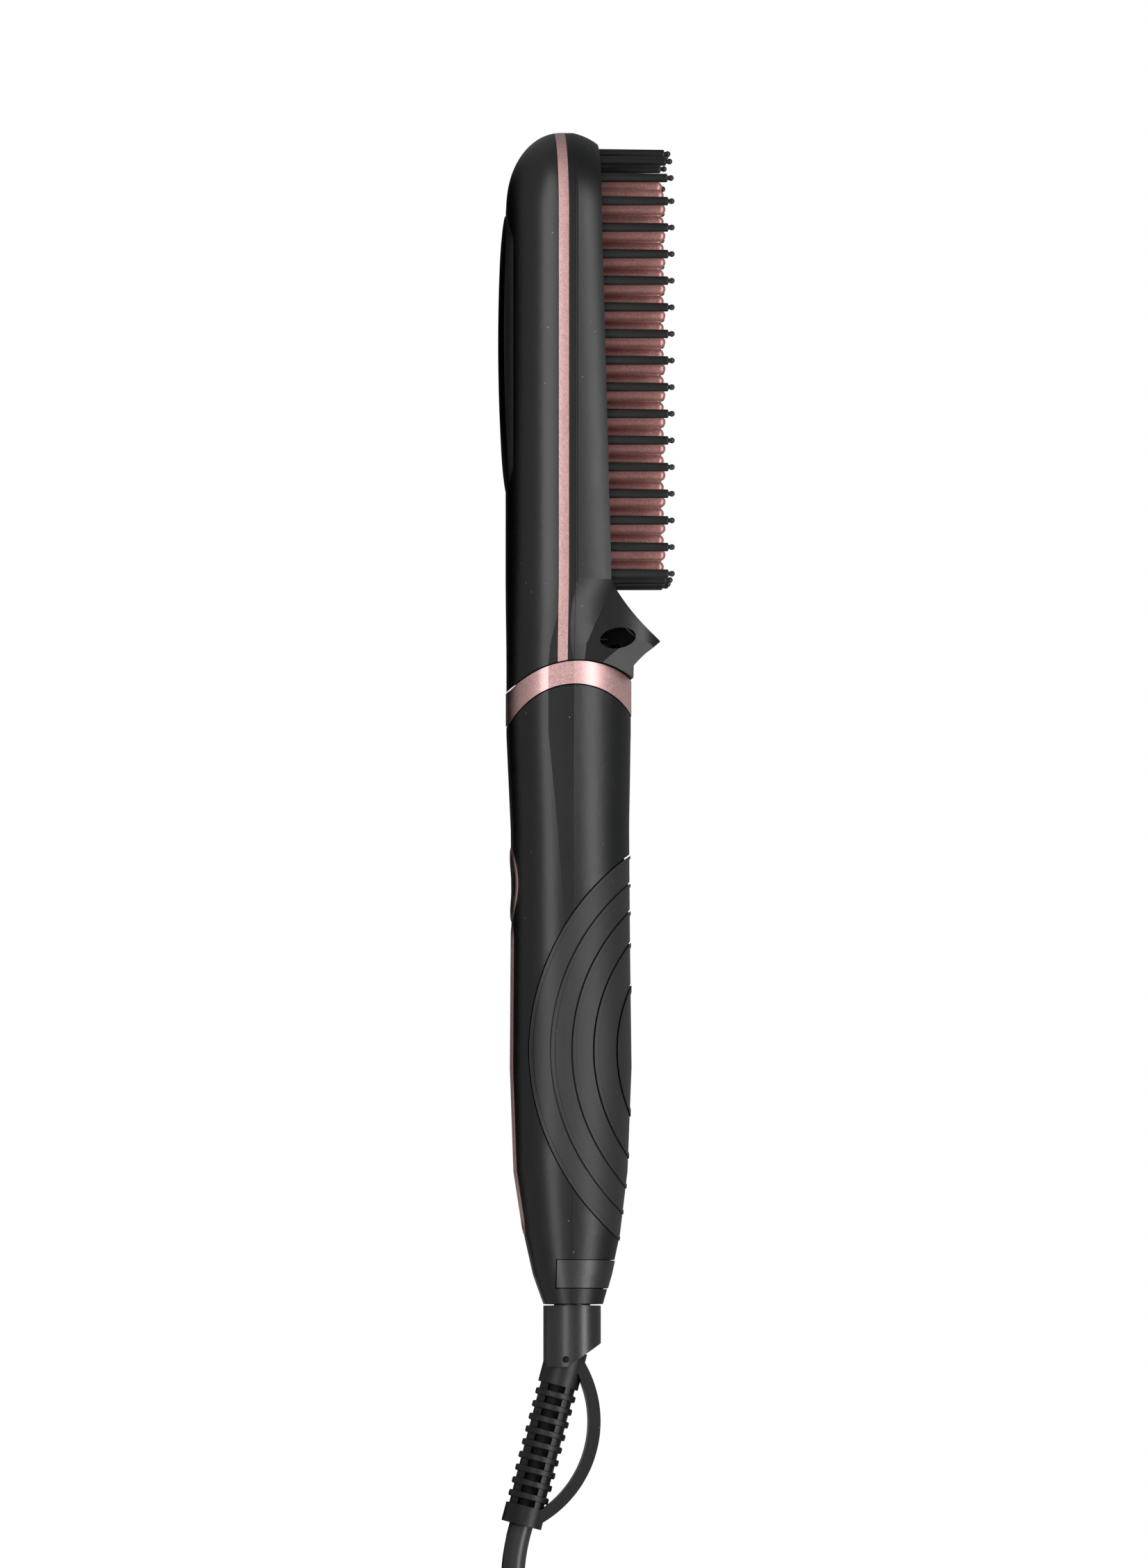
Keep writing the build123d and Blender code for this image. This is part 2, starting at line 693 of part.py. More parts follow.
with BuildPart() as head_back_panel:
    with BuildSketch(Plane.XY.offset(panel_seat_z)):
        with Locations((panel_middle_x, 0)):
            SlotOverall(panel_length, 2 * PANEL_HALF_WIDTH)
    extrude(amount=-2 * panel_seat_z)
    with BuildSketch(Plane.XZ):
        with Locations((PANEL_LOWEST_X, PANEL_DOME_RADIUS)):
            Circle(PANEL_DOME_RADIUS)
    extrude(amount=REACH, both=True, mode=Mode.INTERSECT)
finish(head_back_panel.part, "head_back_panel")

# Bristle comb: a ring plate clamped under the housing's rim
comb_flange_top = HEAD_WALL + RUNNING
heater_opening = field(HEAD_HALF_WIDTH - HEATER_INSET, HEATER_LOW_X)
crown_row = HEAD_HALF_WIDTH - BRISTLE_INSET
straight_row = CROWN_CENTRE_X - BRISTLE_FIRST_X
bristle_gaps = round((2 * straight_row + pi * crown_row) / BRISTLE_PITCH)
bristle_step = (2 * straight_row + pi * crown_row) / bristle_gaps
bristle_places = []
for k in range(bristle_gaps + 1):
    along = k * bristle_step
    if along <= straight_row:
        bristle_places.append((BRISTLE_FIRST_X + along, crown_row))
    elif along <= straight_row + pi * crown_row:
        turned = (along - straight_row) / crown_row
        bristle_places.append((CROWN_CENTRE_X + crown_row * sin(turned), crown_row * cos(turned)))
    else:
        back_along = along - straight_row - pi * crown_row
        bristle_places.append((CROWN_CENTRE_X - back_along, -crown_row))
for share in (-0.6, -0.2, 0.2, 0.6):
    bristle_places.append((COMB_LOW_X + LOW_ROW_INSET + FIELD_BOW * share * share, share * crown_row))

bristle_root_z = face_z(CROWN_CENTRE_X + crown_row) - BRISTLE_ROOT
with BuildPart() as bristle_comb:
    add(plate(field(HEAD_HALF_WIDTH - COMB_INSET - SNUG, COMB_LOW_X + SNUG), 0.0, comb_flange_top + SNUG))
    add(plate(field(HEAD_HALF_WIDTH - COMB_INSET + COMB_FLANGE, COMB_LOW_X - COMB_FLANGE),
              comb_flange_top, COMB_FLANGE_THICKNESS))
    add(plate(heater_opening, -REACH / 4, REACH / 2), mode=Mode.SUBTRACT)
    with Locations([(x, y, bristle_root_z) for x, y in bristle_places]):
        add(bristle(BRISTLE_TIP_Z - bristle_root_z))
finish(bristle_comb.part, "bristle_comb")

# Heater plate with its tines, and the stack under it
heater_flange_top = comb_flange_top + COMB_FLANGE_THICKNESS + RUNNING
heater_top = HEATER_SINK
pocket_top = heater_top + HEATER_THICKNESS
tine_limit = HEAD_HALF_WIDTH - HEATER_INSET - TINE_EDGE
heater_middle = panel_middle_x - FACE_LOW_X
tines = []
for row in (-2, -1, 0, 1, 2):
    x = BRISTLE_FIRST_X + TINE_STAGGER + (TINE_SHIFT if row % 2 == 0 else 0.0)
    while x < CROWN_CENTRE_X + sqrt(tine_limit**2 - (row * TINE_ROW) ** 2):
        root_z = face_z(x) - heater_top - TINE_ROOT
        tines.append(tine(TINE_TIP_Z - root_z).moved(Location((x, row * TINE_ROW, root_z))))
        x += bristle_step
with BuildPart() as heater_plate:
    add(plate(field(HEAD_HALF_WIDTH - HEATER_INSET - SNUG, HEATER_LOW_X + SNUG),
              heater_top, heater_flange_top - heater_top + SNUG))
    add(plate(field(HEAD_HALF_WIDTH - HEATER_INSET + HEATER_FLANGE, HEATER_LOW_X - HEATER_FLANGE),
              heater_flange_top, HEATER_FLANGE_THICKNESS))
    add(plate(field(HEAD_HALF_WIDTH - HEATER_INSET - HEATER_RIM, HEATER_LOW_X + HEATER_RIM),
              pocket_top, REACH / 2), mode=Mode.SUBTRACT)
    for x, y in head_screw_places:
        add(upright(x, y, BOSS_RADIUS, HEAD_BACK + HEAD_WALL + HEAD_BOSS_HEIGHT + RUNNING,
                    face_z(x) - pocket_top + SNUG))
        add(upright(x, y, SCREW_RADIUS, HEAD_BACK, HEAD_BACK + HEAD_SCREW_LENGTH), mode=Mode.SUBTRACT)
    add(tines)
finish(heater_plate.part, "heater_plate")

with BuildPart() as ptc_heaters:
    with BuildSketch(face_plane.offset(-pocket_top - PTC_THICKNESS)):
        with Locations((heater_middle, 0)):
            with GridLocations(PTC_LENGTH + PTC_GAP, 0, 2, 1):
                Rectangle(PTC_LENGTH, PTC_WIDTH)
    extrude(amount=PTC_THICKNESS)
finish(ptc_heaters.part, "ptc_heaters")

insulator_top = pocket_top + PTC_THICKNESS
with BuildPart() as heater_insulator:
    with BuildSketch(face_plane.offset(-insulator_top - INSULATOR_THICKNESS)):
        with Locations((heater_middle, 0)):
            Rectangle(2 * PTC_LENGTH + PTC_GAP + 2, PTC_WIDTH + 3)
    extrude(amount=INSULATOR_THICKNESS)
finish(heater_insulator.part, "heater_insulator")

clamp_top = insulator_top + INSULATOR_THICKNESS
clamp_bottom = clamp_top + CLAMP_THICKNESS
with BuildPart() as heater_clamp:
    with BuildSketch(face_plane.offset(-clamp_bottom)):
        with Locations((heater_middle, 0)):
            SlotOverall(2 * (HEAD_SCREW_REACH + BOSS_RADIUS + 2), PTC_WIDTH - 1)
    extrude(amount=CLAMP_THICKNESS)
    for x, y in head_screw_places:
        add(upright(x, y, BOSS_RADIUS + SNUG, 0, REACH), mode=Mode.SUBTRACT)
finish(heater_clamp.part, "heater_clamp")

sensor_plane = Plane(
    origin=(FACE_LOW_X, 0, FACE_LOW_Z), x_dir=(0, 1, 0), z_dir=face_plane.x_dir
)
with BuildPart() as thermistor:
    with BuildSketch(sensor_plane.offset(heater_middle - PTC_LENGTH)):
        with Locations((0, -clamp_bottom - SENSOR_RADIUS)):
            Circle(SENSOR_RADIUS)
    extrude(amount=SENSOR_LENGTH)
finish(thermistor.part, "thermistor")

with BuildPart() as thermal_fuse:
    with BuildSketch(sensor_plane.offset(heater_middle + PTC_GAP)):
        with Locations((0, -clamp_bottom - FUSE_RADIUS)):
            Circle(FUSE_RADIUS)
    extrude(amount=FUSE_LENGTH)
finish(thermal_fuse.part, "thermal_fuse")

with BuildPart() as head_screws:
    for x, y in head_screw_places:
        add(upright(x, y, SCREW_HEAD_RADIUS, panel_seat_z, panel_seat_z + SCREW_HEAD_HEIGHT))
        add(upright(x, y, SCREW_RADIUS, panel_seat_z + SCREW_HEAD_HEIGHT, HEAD_BACK + HEAD_SCREW_LENGTH))
finish(head_screws.part, "head_screws")

lead_depth = clamp_bottom + LEAD_RADIUS + RUNNING
with BuildPart() as heater_leads:
    for y in (-LEAD_Y, LEAD_Y):
        with BuildLine() as route:
            FilletPolyline(
                (BOARD_HIGH_X - 9.0, y, LEAD_BOARD_Z),
                (BOARD_HIGH_X + 4.0, y, LEAD_BOARD_Z),
                (BOARD_HIGH_X + 20.0, y, FACE_LOW_Z - lead_depth),
                (LEAD_TURN_X, y, face_z(LEAD_TURN_X) - lead_depth),
                (LEAD_END_HEAD_X, y, face_z(LEAD_END_HEAD_X) - lead_depth),
                radius=LEAD_BEND,
            )
        with BuildSketch(Plane(origin=route.line @ 0, z_dir=(1, 0, 0))):
            Circle(LEAD_RADIUS)
        sweep(path=route.line)
finish(heater_leads.part, "heater_leads")

# Handle forms and the cuts that its two shells share
with BuildPart() as handle_cavity:
    add(handle_solid(HANDLE_WALL))
    split(bisect_by=Plane.YZ.offset(SPIGOT_X), keep=Keep.BOTTOM)
    add(handle_solid(SPIGOT_INSET + SPIGOT_WALL))
    split(bisect_by=Plane.YZ.offset(cavity_end_x), keep=Keep.TOP)

with BuildPart() as grip_prism:
    with BuildSketch(Plane.XZ):
        with Locations((GRIP_X, GRIP_LOW_Z + GRIP_RADIUS)):
            Circle(GRIP_RADIUS)
    extrude(amount=REACH, both=True)


def band_prism(margin):
    """The end band's outline, drawn in by margin."""
    with BuildPart() as prism:
        with BuildSketch(Plane.XZ):
            with Locations(((BAND_LOW_X + BAND_HIGH_X) / 2, BAND_LOW_Z + margin + REACH / 2)):
                Rectangle(BAND_HIGH_X - BAND_LOW_X - 2 * margin, REACH)
        extrude(amount=REACH, both=True)
    return prism.part


with BuildPart() as handle_form:
    add(handle_solid(0.0))
    add(beyond_saddle(COLLAR_HANDLE_EDGE, -COLLAR_GAP, -6 * REACH), mode=Mode.INTERSECT)
    add(handle_solid(SPIGOT_INSET))
    add(handle_cavity.part, mode=Mode.SUBTRACT)
    add(layer(-1.0, GRIP_DEPTH, grip_prism.part), mode=Mode.SUBTRACT)
    add(layer(-1.0, BAND_DEPTH, band_prism(0.0)), mode=Mode.SUBTRACT)
    add(lying(JOURNAL_RADIUS + RUNNING, HANDLE_END_X - 1, cavity_end_x + 1, 0, SWIVEL_Z), mode=Mode.SUBTRACT)

inlay_middle_x = (INLAY_LOW_X + INLAY_HIGH_X) / 2
inlay_length = INLAY_HIGH_X - INLAY_LOW_X
button_low = handle_at(BUTTON_X)[0]
groove_z = button_low + RING_DEPTH
seat_z = button_low + BUTTON_SEAT


def inlay_prism(margin):
    """The long inlay's outline, drawn in by margin, as deep as the back shell."""
    with BuildPart() as prism:
        with BuildSketch(Plane.XY.offset(-1)):
            with Locations((inlay_middle_x, 0)):
                SlotOverall(inlay_length - 2 * margin, 2 * (INLAY_HALF_WIDTH - margin))
        extrude(amount=BOARD_Z)
    return prism.part


with BuildPart() as handle_back_shell:
    add(handle_form.part)
    split(bisect_by=Plane.XY.offset(SEAM_Z), keep=Keep.BOTTOM)
    for x, y in POST_PLACES:
        add(upright(x, y, POST_RADIUS, handle_at(x)[0] + POST_ROOT, BOARD_Z))
    for x in SHELL_SCREW_X:
        add(upright(x, 0, BOSS_RADIUS, handle_at(x)[0] + POST_ROOT, SEAM_Z))
        add(upright(x, 0, SCREW_RADIUS, BOARD_Z - POST_ROOT, SEAM_Z), mode=Mode.SUBTRACT)
    add(upright(BUTTON_X, 0, RING_RADIUS, 0, groove_z), mode=Mode.SUBTRACT)
    add(upright(BUTTON_X, 0, BUTTON_RADIUS + BUTTON_GAP, 0, BOARD_Z), mode=Mode.SUBTRACT)
    add(upright(BUTTON_X, 0, BUTTON_RADIUS + BUTTON_FLANGE + CLEAR, seat_z, BOARD_Z), mode=Mode.SUBTRACT)
    add(layer(-1.0, INLAY_DEPTH, inlay_prism(0.0)), mode=Mode.SUBTRACT)
    add(block(WINDOW_X - WINDOW_LENGTH / 2, WINDOW_X + WINDOW_LENGTH / 2, WINDOW_WIDTH / 2, 0, BOARD_Z),
        mode=Mode.SUBTRACT)
finish(handle_back_shell.part, "handle_back_shell")

with BuildPart() as handle_front_shell:
    add(handle_form.part)
    split(bisect_by=Plane.XY.offset(SEAM_Z), keep=Keep.TOP)
    for x in SHELL_SCREW_X:
        head_z = handle_at(x - SCREW_HEAD_RADIUS)[1] - GRIP_DEPTH - SNUG
        add(upright(x, 0, FRONT_BOSS_RADIUS, SEAM_Z, head_z))
        add(upright(x, 0, SCREW_HEAD_RADIUS + SNUG, head_z - SCREW_HEAD_HEIGHT, REACH), mode=Mode.SUBTRACT)
        add(upright(x, 0, SCREW_RADIUS + SNUG, SEAM_Z, REACH), mode=Mode.SUBTRACT)
    add(handle_solid(HANDLE_WALL / 2)
        & block(BLOCK_LOW_X, BLOCK_HIGH_X, BLOCK_HALF_WIDTH / 2, BLOCK_TOP_Z, REACH))
finish(handle_front_shell.part, "handle_front_shell")

# Grip pad with its stepped arcs, each a ridge beside a groove
with BuildPart() as ridge_rings:
    with BuildSketch(Plane.XZ):
        for radius, centre_z in ((GRIP_RADIUS - GRIP_GAP, GRIP_LOW_Z + GRIP_RADIUS), *GRIP_STEPS):
            with Locations((GRIP_X, centre_z)):
                Circle(radius)
                Circle(radius - GRIP_RIDGE_WIDTH, mode=Mode.SUBTRACT)
    extrude(amount=REACH, both=True)
with BuildPart() as groove_rings:
    with BuildSketch(Plane.XZ):
        for radius, centre_z in GRIP_STEPS:
            with Locations((GRIP_X, centre_z)):
                Circle(radius + GRIP_GROOVE_WIDTH)
                Circle(radius, mode=Mode.SUBTRACT)
    extrude(amount=REACH, both=True)
with BuildPart() as pad_prism:
    with BuildSketch(Plane.XZ):
        with Locations((GRIP_X, GRIP_LOW_Z + GRIP_RADIUS)):
            Circle(GRIP_RADIUS - GRIP_GAP)
    extrude(amount=REACH, both=True)
with BuildPart() as grip_pad:
    add(layer(0.0, GRIP_DEPTH, pad_prism.part))
    add(layer(-GRIP_RIDGE_PROUD, GRIP_DEPTH, ridge_rings.part))
    add(layer(-1.0, GRIP_GROOVE_DEPTH, groove_rings.part), mode=Mode.SUBTRACT)
finish(grip_pad.part, "grip_pad")

finish(layer(-BAND_PROUD, BAND_DEPTH, band_prism(BAND_GAP)), "end_band")

with BuildPart() as collar_ring:
    add(handle_solid(-COLLAR_PROUD))
    add(handle_solid(HEAD_WALL), mode=Mode.SUBTRACT)
    add(beyond_saddle(COLLAR_HEAD_EDGE, 0.0, -6 * REACH), mode=Mode.INTERSECT)
    add(beyond_saddle(COLLAR_HANDLE_EDGE, 0.0, 2 * REACH + CROWN_CENTRE_X), mode=Mode.INTERSECT)
finish(collar_ring.part, "collar_ring")

# Power button, its ring and the switch behind it
with BuildPart() as button_ring:
    add(upright(BUTTON_X, 0, RING_RADIUS, 0, groove_z))
    add(upright(BUTTON_X, 0, BUTTON_RADIUS + BUTTON_GAP, 0, groove_z), mode=Mode.SUBTRACT)
    add(handle_solid(-RING_PROUD), mode=Mode.INTERSECT)
finish(button_ring.part, "button_ring")

plunger_z = BOARD_Z - SWITCH_HEIGHT - PLUNGER_HEIGHT
with BuildPart() as power_button:
    add(upright(BUTTON_X, 0, BUTTON_RADIUS, 0, seat_z + BUTTON_FLANGE_THICKNESS))
    add(handle_solid(0.0), mode=Mode.INTERSECT)
    add(upright(BUTTON_X, 0, BUTTON_RADIUS + BUTTON_FLANGE, seat_z, seat_z + BUTTON_FLANGE_THICKNESS))
    add(upright(BUTTON_X, 0, PLUNGER_RADIUS, seat_z, plunger_z - BUTTON_TRAVEL - SNUG))
finish(power_button.part, "power_button")

with BuildPart() as display_frame:
    add(layer(-INLAY_PROUD, INLAY_DEPTH, inlay_prism(0.0)))
    add(inlay_prism(INLAY_RIM), mode=Mode.SUBTRACT)
finish(display_frame.part, "display_frame")
finish(layer(0.0, INLAY_DEPTH, inlay_prism(INLAY_RIM)), "display_lens")

with BuildPart() as display_module:
    add(block(WINDOW_X - WINDOW_LENGTH / 2 + CLEAR, WINDOW_X + WINDOW_LENGTH / 2 - CLEAR,
              WINDOW_WIDTH / 2 - CLEAR, handle_at(WINDOW_X - WINDOW_LENGTH / 2)[0] + INLAY_DEPTH + CLEAR,
              BOARD_Z))
finish(display_module.part, "display_module")

with BuildPart() as control_board:
    add(block(BOARD_LOW_X, BOARD_HIGH_X, BOARD_HALF_WIDTH, BOARD_Z, BOARD_Z + BOARD_THICKNESS))
    for x in SHELL_SCREW_X:
        add(upright(x, 0, BOSS_RADIUS + CLEAR, 0, REACH), mode=Mode.SUBTRACT)
finish(control_board.part, "control_board")

with BuildPart() as tact_switch:
    add(block(BUTTON_X - SWITCH_SIZE / 2, BUTTON_X + SWITCH_SIZE / 2, SWITCH_SIZE / 2,
              BOARD_Z - SWITCH_HEIGHT, BOARD_Z))
    add(upright(BUTTON_X, 0, PLUNGER_RADIUS, plunger_z, BOARD_Z - SWITCH_HEIGHT))
finish(tact_switch.part, "tact_switch")

component_z = BOARD_Z + BOARD_THICKNESS
with BuildPart() as board_components:
    for x_from, x_to, half_width, height in COMPONENT_BLOCKS:
        add(block(x_from, x_to, half_width, component_z, component_z + height))
    add(upright(CAPACITOR_X, 0, CAPACITOR_RADIUS, component_z, component_z + CAPACITOR_HEIGHT))
finish(board_components.part, "board_components")

with BuildPart() as shell_screws:
    for x in SHELL_SCREW_X:
        head_z = handle_at(x - SCREW_HEAD_RADIUS)[1] - GRIP_DEPTH - SNUG
        add(upright(x, 0, SCREW_HEAD_RADIUS, head_z - SCREW_HEAD_HEIGHT, head_z - SNUG))
        add(upright(x, 0, SCREW_RADIUS, BOARD_Z - POST_ROOT + 1, head_z - SCREW_HEAD_HEIGHT))
finish(shell_screws.part, "shell_screws")

# Ion generator in the neck, with a needle for each outlet and a wall between them
ion_floor = COLLAR_LOW + SPIGOT_INSET + SPIGOT_WALL + CLEAR
ion_top = ion_floor + ION_HEIGHT
hollow_low = strip_high + HEAD_WALL
past_spigot_x = HANDLE_STATIONS[0][0] + CLEAR
above_spigot_z = COLLAR_HIGH - SPIGOT_INSET + CLEAR
with BuildPart() as ion_generator:
    add(block(ION_LOW_X, ION_HIGH_X, ION_HALF_WIDTH, ion_floor, ion_top))
    add(block(past_spigot_x, BAFFLE_HIGH_X, BAFFLE_HALF_THICKNESS, ion_top, hollow_low))
    add(block(past_spigot_x, BAFFLE_HIGH_X, BAFFLE_HALF_THICKNESS, hollow_low, REACH)
        & nose_form(HEAD_WALL + CLEAR))
    add(block(BAFFLE_LOW_X, past_spigot_x, BAFFLE_HALF_THICKNESS, above_spigot_z, REACH)
        & nose_form(HEAD_WALL + CLEAR))
finish(ion_generator.part, "ion_generator")
with BuildPart() as ion_needles:
    for y in (-NEEDLE_Y, NEEDLE_Y):
        add(upright(OUTLET_CENTRE[0] + NEEDLE_RADIUS, y, NEEDLE_RADIUS, ion_top,
                    OUTLET_CENTRE[1] - NEEDLE_SINK))
finish(ion_needles.part, "ion_needles")

# Cord swivel
cap_x = HANDLE_END_X - COLLAR_CAP_GAP
flange_x = cavity_end_x + 2 * SNUG
hub_x = flange_x + FLANGE_THICKNESS
hub_end_x = hub_x + HUB_LENGTH
ring_places = [hub_x + SLIP_RING_WIDTH + k * SLIP_RING_PITCH for k in (0, 1)]


def guard_bar(radius, start, end, rounding=0.0):
    """A round bar or bore along the guard's leaning axis, its two rims rounded on request."""
    with BuildPart() as bar:
        with BuildSketch(guard_plane.offset(start)):
            Circle(radius)
        extrude(amount=end - start)
        if rounding:
            fillet(bar.edges().filter_by(GeomType.CIRCLE), rounding)
    return bar.part


with BuildPart() as swivel_collar:
    add(lying(COLLAR_CAP_RADIUS, CAP_END_X, cap_x, 0, SWIVEL_Z))
    with BuildSketch(Plane.XZ):
        with BuildLine():
            Polyline(
                (cap_x, 0), (cap_x, CAP_TOP_Z + (cap_x - CAP_TOP_X) / CAP_SLANT),
                (CAP_END_X, CAP_TOP_Z + (CAP_END_X - CAP_TOP_X) / CAP_SLANT), (CAP_END_X, 0),
                close=True,
            )
        make_face()
    extrude(amount=REACH, both=True, mode=Mode.INTERSECT)
    add(lying(JOURNAL_RADIUS, cap_x - 1, flange_x, 0, SWIVEL_Z))
    add(lying(FLANGE_RADIUS, flange_x, flange_x + FLANGE_THICKNESS, 0, SWIVEL_Z))
    add(lying(HUB_RADIUS, hub_x, hub_end_x, 0, SWIVEL_Z))
    add(guard_bar(GUARD_RADIUS + SNUG, GUARD_ROOT, REACH), mode=Mode.SUBTRACT)
    add(guard_bar(CORD_RADIUS, LEAD_START, REACH), mode=Mode.SUBTRACT)
    with BuildSketch(Plane.XZ.offset(-COLLAR_CAP_RADIUS)):
        with Locations(CAP_HOLE):
            Circle(CAP_HOLE_RADIUS)
    extrude(amount=CAP_HOLE_DEPTH, mode=Mode.SUBTRACT)
finish(swivel_collar.part, "swivel_collar")

with BuildPart() as slip_rings:
    for x in ring_places:
        add(lying(SLIP_RING_RADIUS, x - SLIP_RING_WIDTH / 2, x + SLIP_RING_WIDTH / 2, 0, SWIVEL_Z))
    add(lying(HUB_RADIUS, flange_x, hub_end_x, 0, SWIVEL_Z), mode=Mode.SUBTRACT)
finish(slip_rings.part, "slip_rings")

brush_low = SWIVEL_Z + SLIP_RING_RADIUS + RUNNING
with BuildPart() as contact_block:
    add(block(BLOCK_LOW_X, BLOCK_HIGH_X, BLOCK_HALF_WIDTH, brush_low + BRUSH_HEIGHT, BLOCK_TOP_Z))
finish(contact_block.part, "contact_block")
with BuildPart() as contact_brushes:
    for x in ring_places:
        add(block(x - BRUSH_LENGTH / 2, x + BRUSH_LENGTH / 2, BRUSH_LENGTH / 2,
                  brush_low, brush_low + BRUSH_HEIGHT))
finish(contact_brushes.part, "contact_brushes")

loop_plane = Plane(origin=(GUARD_PIVOT_X, 0, SWIVEL_Z), x_dir=guard_axis, z_dir=(0, 1, 0))
slot_middles = [SLOT_FIRST + k * SLOT_PITCH for k in range(SLOT_COUNT)]
rib_starts = [GUARD_ROOT + SNUG] + [middle + SLOT_WIDTH / 2 for middle in slot_middles]
rib_ends = [middle - SLOT_WIDTH / 2 for middle in slot_middles] + [GUARD_END]
rib_span = rib_starts[-1] - rib_ends[0]
with BuildPart() as cord_guard:
    add(guard_bar(GUARD_RADIUS - BRIDGE_SINK, rib_ends[0], rib_starts[-1]))
    with BuildSketch(loop_plane):
        with Locations((rib_ends[0] + rib_span / 2, (WINDOW_HIGH + NOTCH_LOW) / 2)):
            Rectangle(rib_span, NOTCH_LOW - WINDOW_HIGH)
    extrude(amount=REACH, both=True, mode=Mode.INTERSECT)
    add(guard_bar(CORE_RADIUS, rib_ends[0], rib_starts[-1]))
    add(guard_bar(CORD_RADIUS + BRIDGE_SINK, rib_ends[0], rib_starts[-1]), mode=Mode.SUBTRACT)
    with BuildSketch(loop_plane):
        for middle in slot_middles:
            with Locations((middle, (WINDOW_LOW + WINDOW_HIGH) / 2)):
                Rectangle(SLOT_WIDTH, WINDOW_HIGH - WINDOW_LOW)
    extrude(amount=REACH, both=True, mode=Mode.SUBTRACT)
    add(guard_bar(GUARD_RADIUS, rib_starts[0], rib_ends[0]))
    add(guard_bar(GUARD_RADIUS, rib_starts[-1], rib_ends[-1]))
    for start, end in zip(rib_starts[1:-1], rib_ends[1:-1]):
        add(guard_bar(GUARD_RADIUS, start, end, RIB_ROUND))
    with BuildSketch(loop_plane):
        with Locations(LOOP_CENTRE):
            Circle(LOOP_RADIUS)
            Circle(LOOP_RADIUS - LOOP_THICKNESS, mode=Mode.SUBTRACT)
        with Locations(((LOOP_START + LOOP_END) / 2, LOOP_ROOT + REACH / 2)):
            Rectangle(LOOP_END - LOOP_START, REACH, mode=Mode.INTERSECT)
    extrude(amount=LOOP_HALF_WIDTH, both=True)
    add(guard_bar(CORD_RADIUS, 0, REACH), mode=Mode.SUBTRACT)
finish(cord_guard.part, "cord_guard")

with BuildPart() as cord_lead:
    add(guard_bar(CORD_RADIUS, LEAD_START, REACH))
    split(bisect_by=Plane.YZ.offset(LEAD_END_X), keep=Keep.TOP)
finish(cord_lead.part, "cord_lead")

# Loose cord, its hank, tie and plug
with BuildPart() as cord_run:
    add(cord_tube(RUN_POINTS, "cord_run"))
    split(bisect_by=Plane.YZ.offset(LEAD_END_X - CORD_GAP), keep=Keep.BOTTOM)
finish(cord_run.part, "cord_run")

hank_middle_x = (HANK_NEAR_X + hank_far_x) / 2
with BuildPart() as cord_hank:
    for fold, layers in ((OUTER_FOLD, OUTER_LAYERS), (INNER_FOLD, INNER_LAYERS)):
        with BuildSketch(Plane.XY):
            with Locations((hank_middle_x, 0)):
                SlotCenterToCenter(HANK_RUN, 2 * (fold + CORD_RADIUS))
                SlotCenterToCenter(HANK_RUN, 2 * (INNER_FOLD - CORD_RADIUS), mode=Mode.SUBTRACT)
        extrude(amount=2 * CORD_RADIUS * layers)
    add(block(TIE_X - TIE_WIDTH / 2, TIE_X + TIE_WIDTH / 2, 2 * OUTER_FOLD, 0, TIE_THICKNESS),
        mode=Mode.SUBTRACT)
finish(cord_hank.part, "cord_hank")

finish(cord_tube(TAIL_POINTS, "cord_tail"), "cord_tail")

hank_half = OUTER_FOLD + CORD_RADIUS
hank_top = 2 * CORD_RADIUS * INNER_LAYERS + SNUG
with BuildPart() as hank_tie:
    for margin, mode in ((TIE_THICKNESS, Mode.ADD), (0.0, Mode.SUBTRACT)):
        low = TIE_THICKNESS - margin
        high = hank_top + margin
        with BuildSketch(Plane.YZ.offset(TIE_X - TIE_WIDTH / 2)) as band:
            with Locations((0, (low + high) / 2)):
                Rectangle(2 * (hank_half + margin), high - low)
            fillet(band.vertices().group_by(Axis.Y)[-1], radius=2 * CORD_RADIUS + margin)
        extrude(amount=TIE_WIDTH, mode=mode)
finish(hank_tie.part, "hank_tie")

plug_body_x = PLUG_X - PLUG_BOOT
plug_face_x = plug_body_x - PLUG_LENGTH
with BuildPart() as plug_body:
    with BuildSketch(Plane.YZ.offset(plug_body_x)):
        with Locations((0, plug_z)):
            RectangleRounded(PLUG_WAIST_WIDTH, PLUG_WAIST_THICKNESS, PLUG_CORNER)
    with BuildSketch(Plane.YZ.offset(plug_face_x + PLUG_GRIP_LENGTH)):
        with Locations((0, plug_z)):
            RectangleRounded(PLUG_WIDTH, PLUG_THICKNESS, PLUG_CORNER)
    loft()
    with BuildSketch(Plane.YZ.offset(plug_face_x)):
        with Locations((0, plug_z)):
            RectangleRounded(PLUG_WIDTH, PLUG_THICKNESS, PLUG_CORNER)
    extrude(amount=PLUG_GRIP_LENGTH)
    with BuildSketch(Plane.YZ.offset(PLUG_X)):
        with Locations((0, plug_z)):
            Circle(CORD_RADIUS + BOOT_WALL)
    extrude(amount=-PLUG_BOOT, taper=BOOT_TAPER)
    add(lying(CORD_RADIUS, TAIL_POINTS[-1][0], PLUG_X + 1, 0, plug_z), mode=Mode.SUBTRACT)
finish(plug_body.part, "plug_body")

with BuildPart() as plug_pins:
    for y in (-PIN_SPACING / 2, PIN_SPACING / 2):
        add(lying(PIN_RADIUS, plug_face_x - PIN_LENGTH, plug_face_x, y, plug_z))
    fillet(plug_pins.edges().group_by(Axis.X)[0], radius=PIN_TIP)
finish(plug_pins.part, "plug_pins")
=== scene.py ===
import math

import bpy
from bpy.props import FloatProperty, FloatVectorProperty, PointerProperty
from mathutils import Matrix, Vector


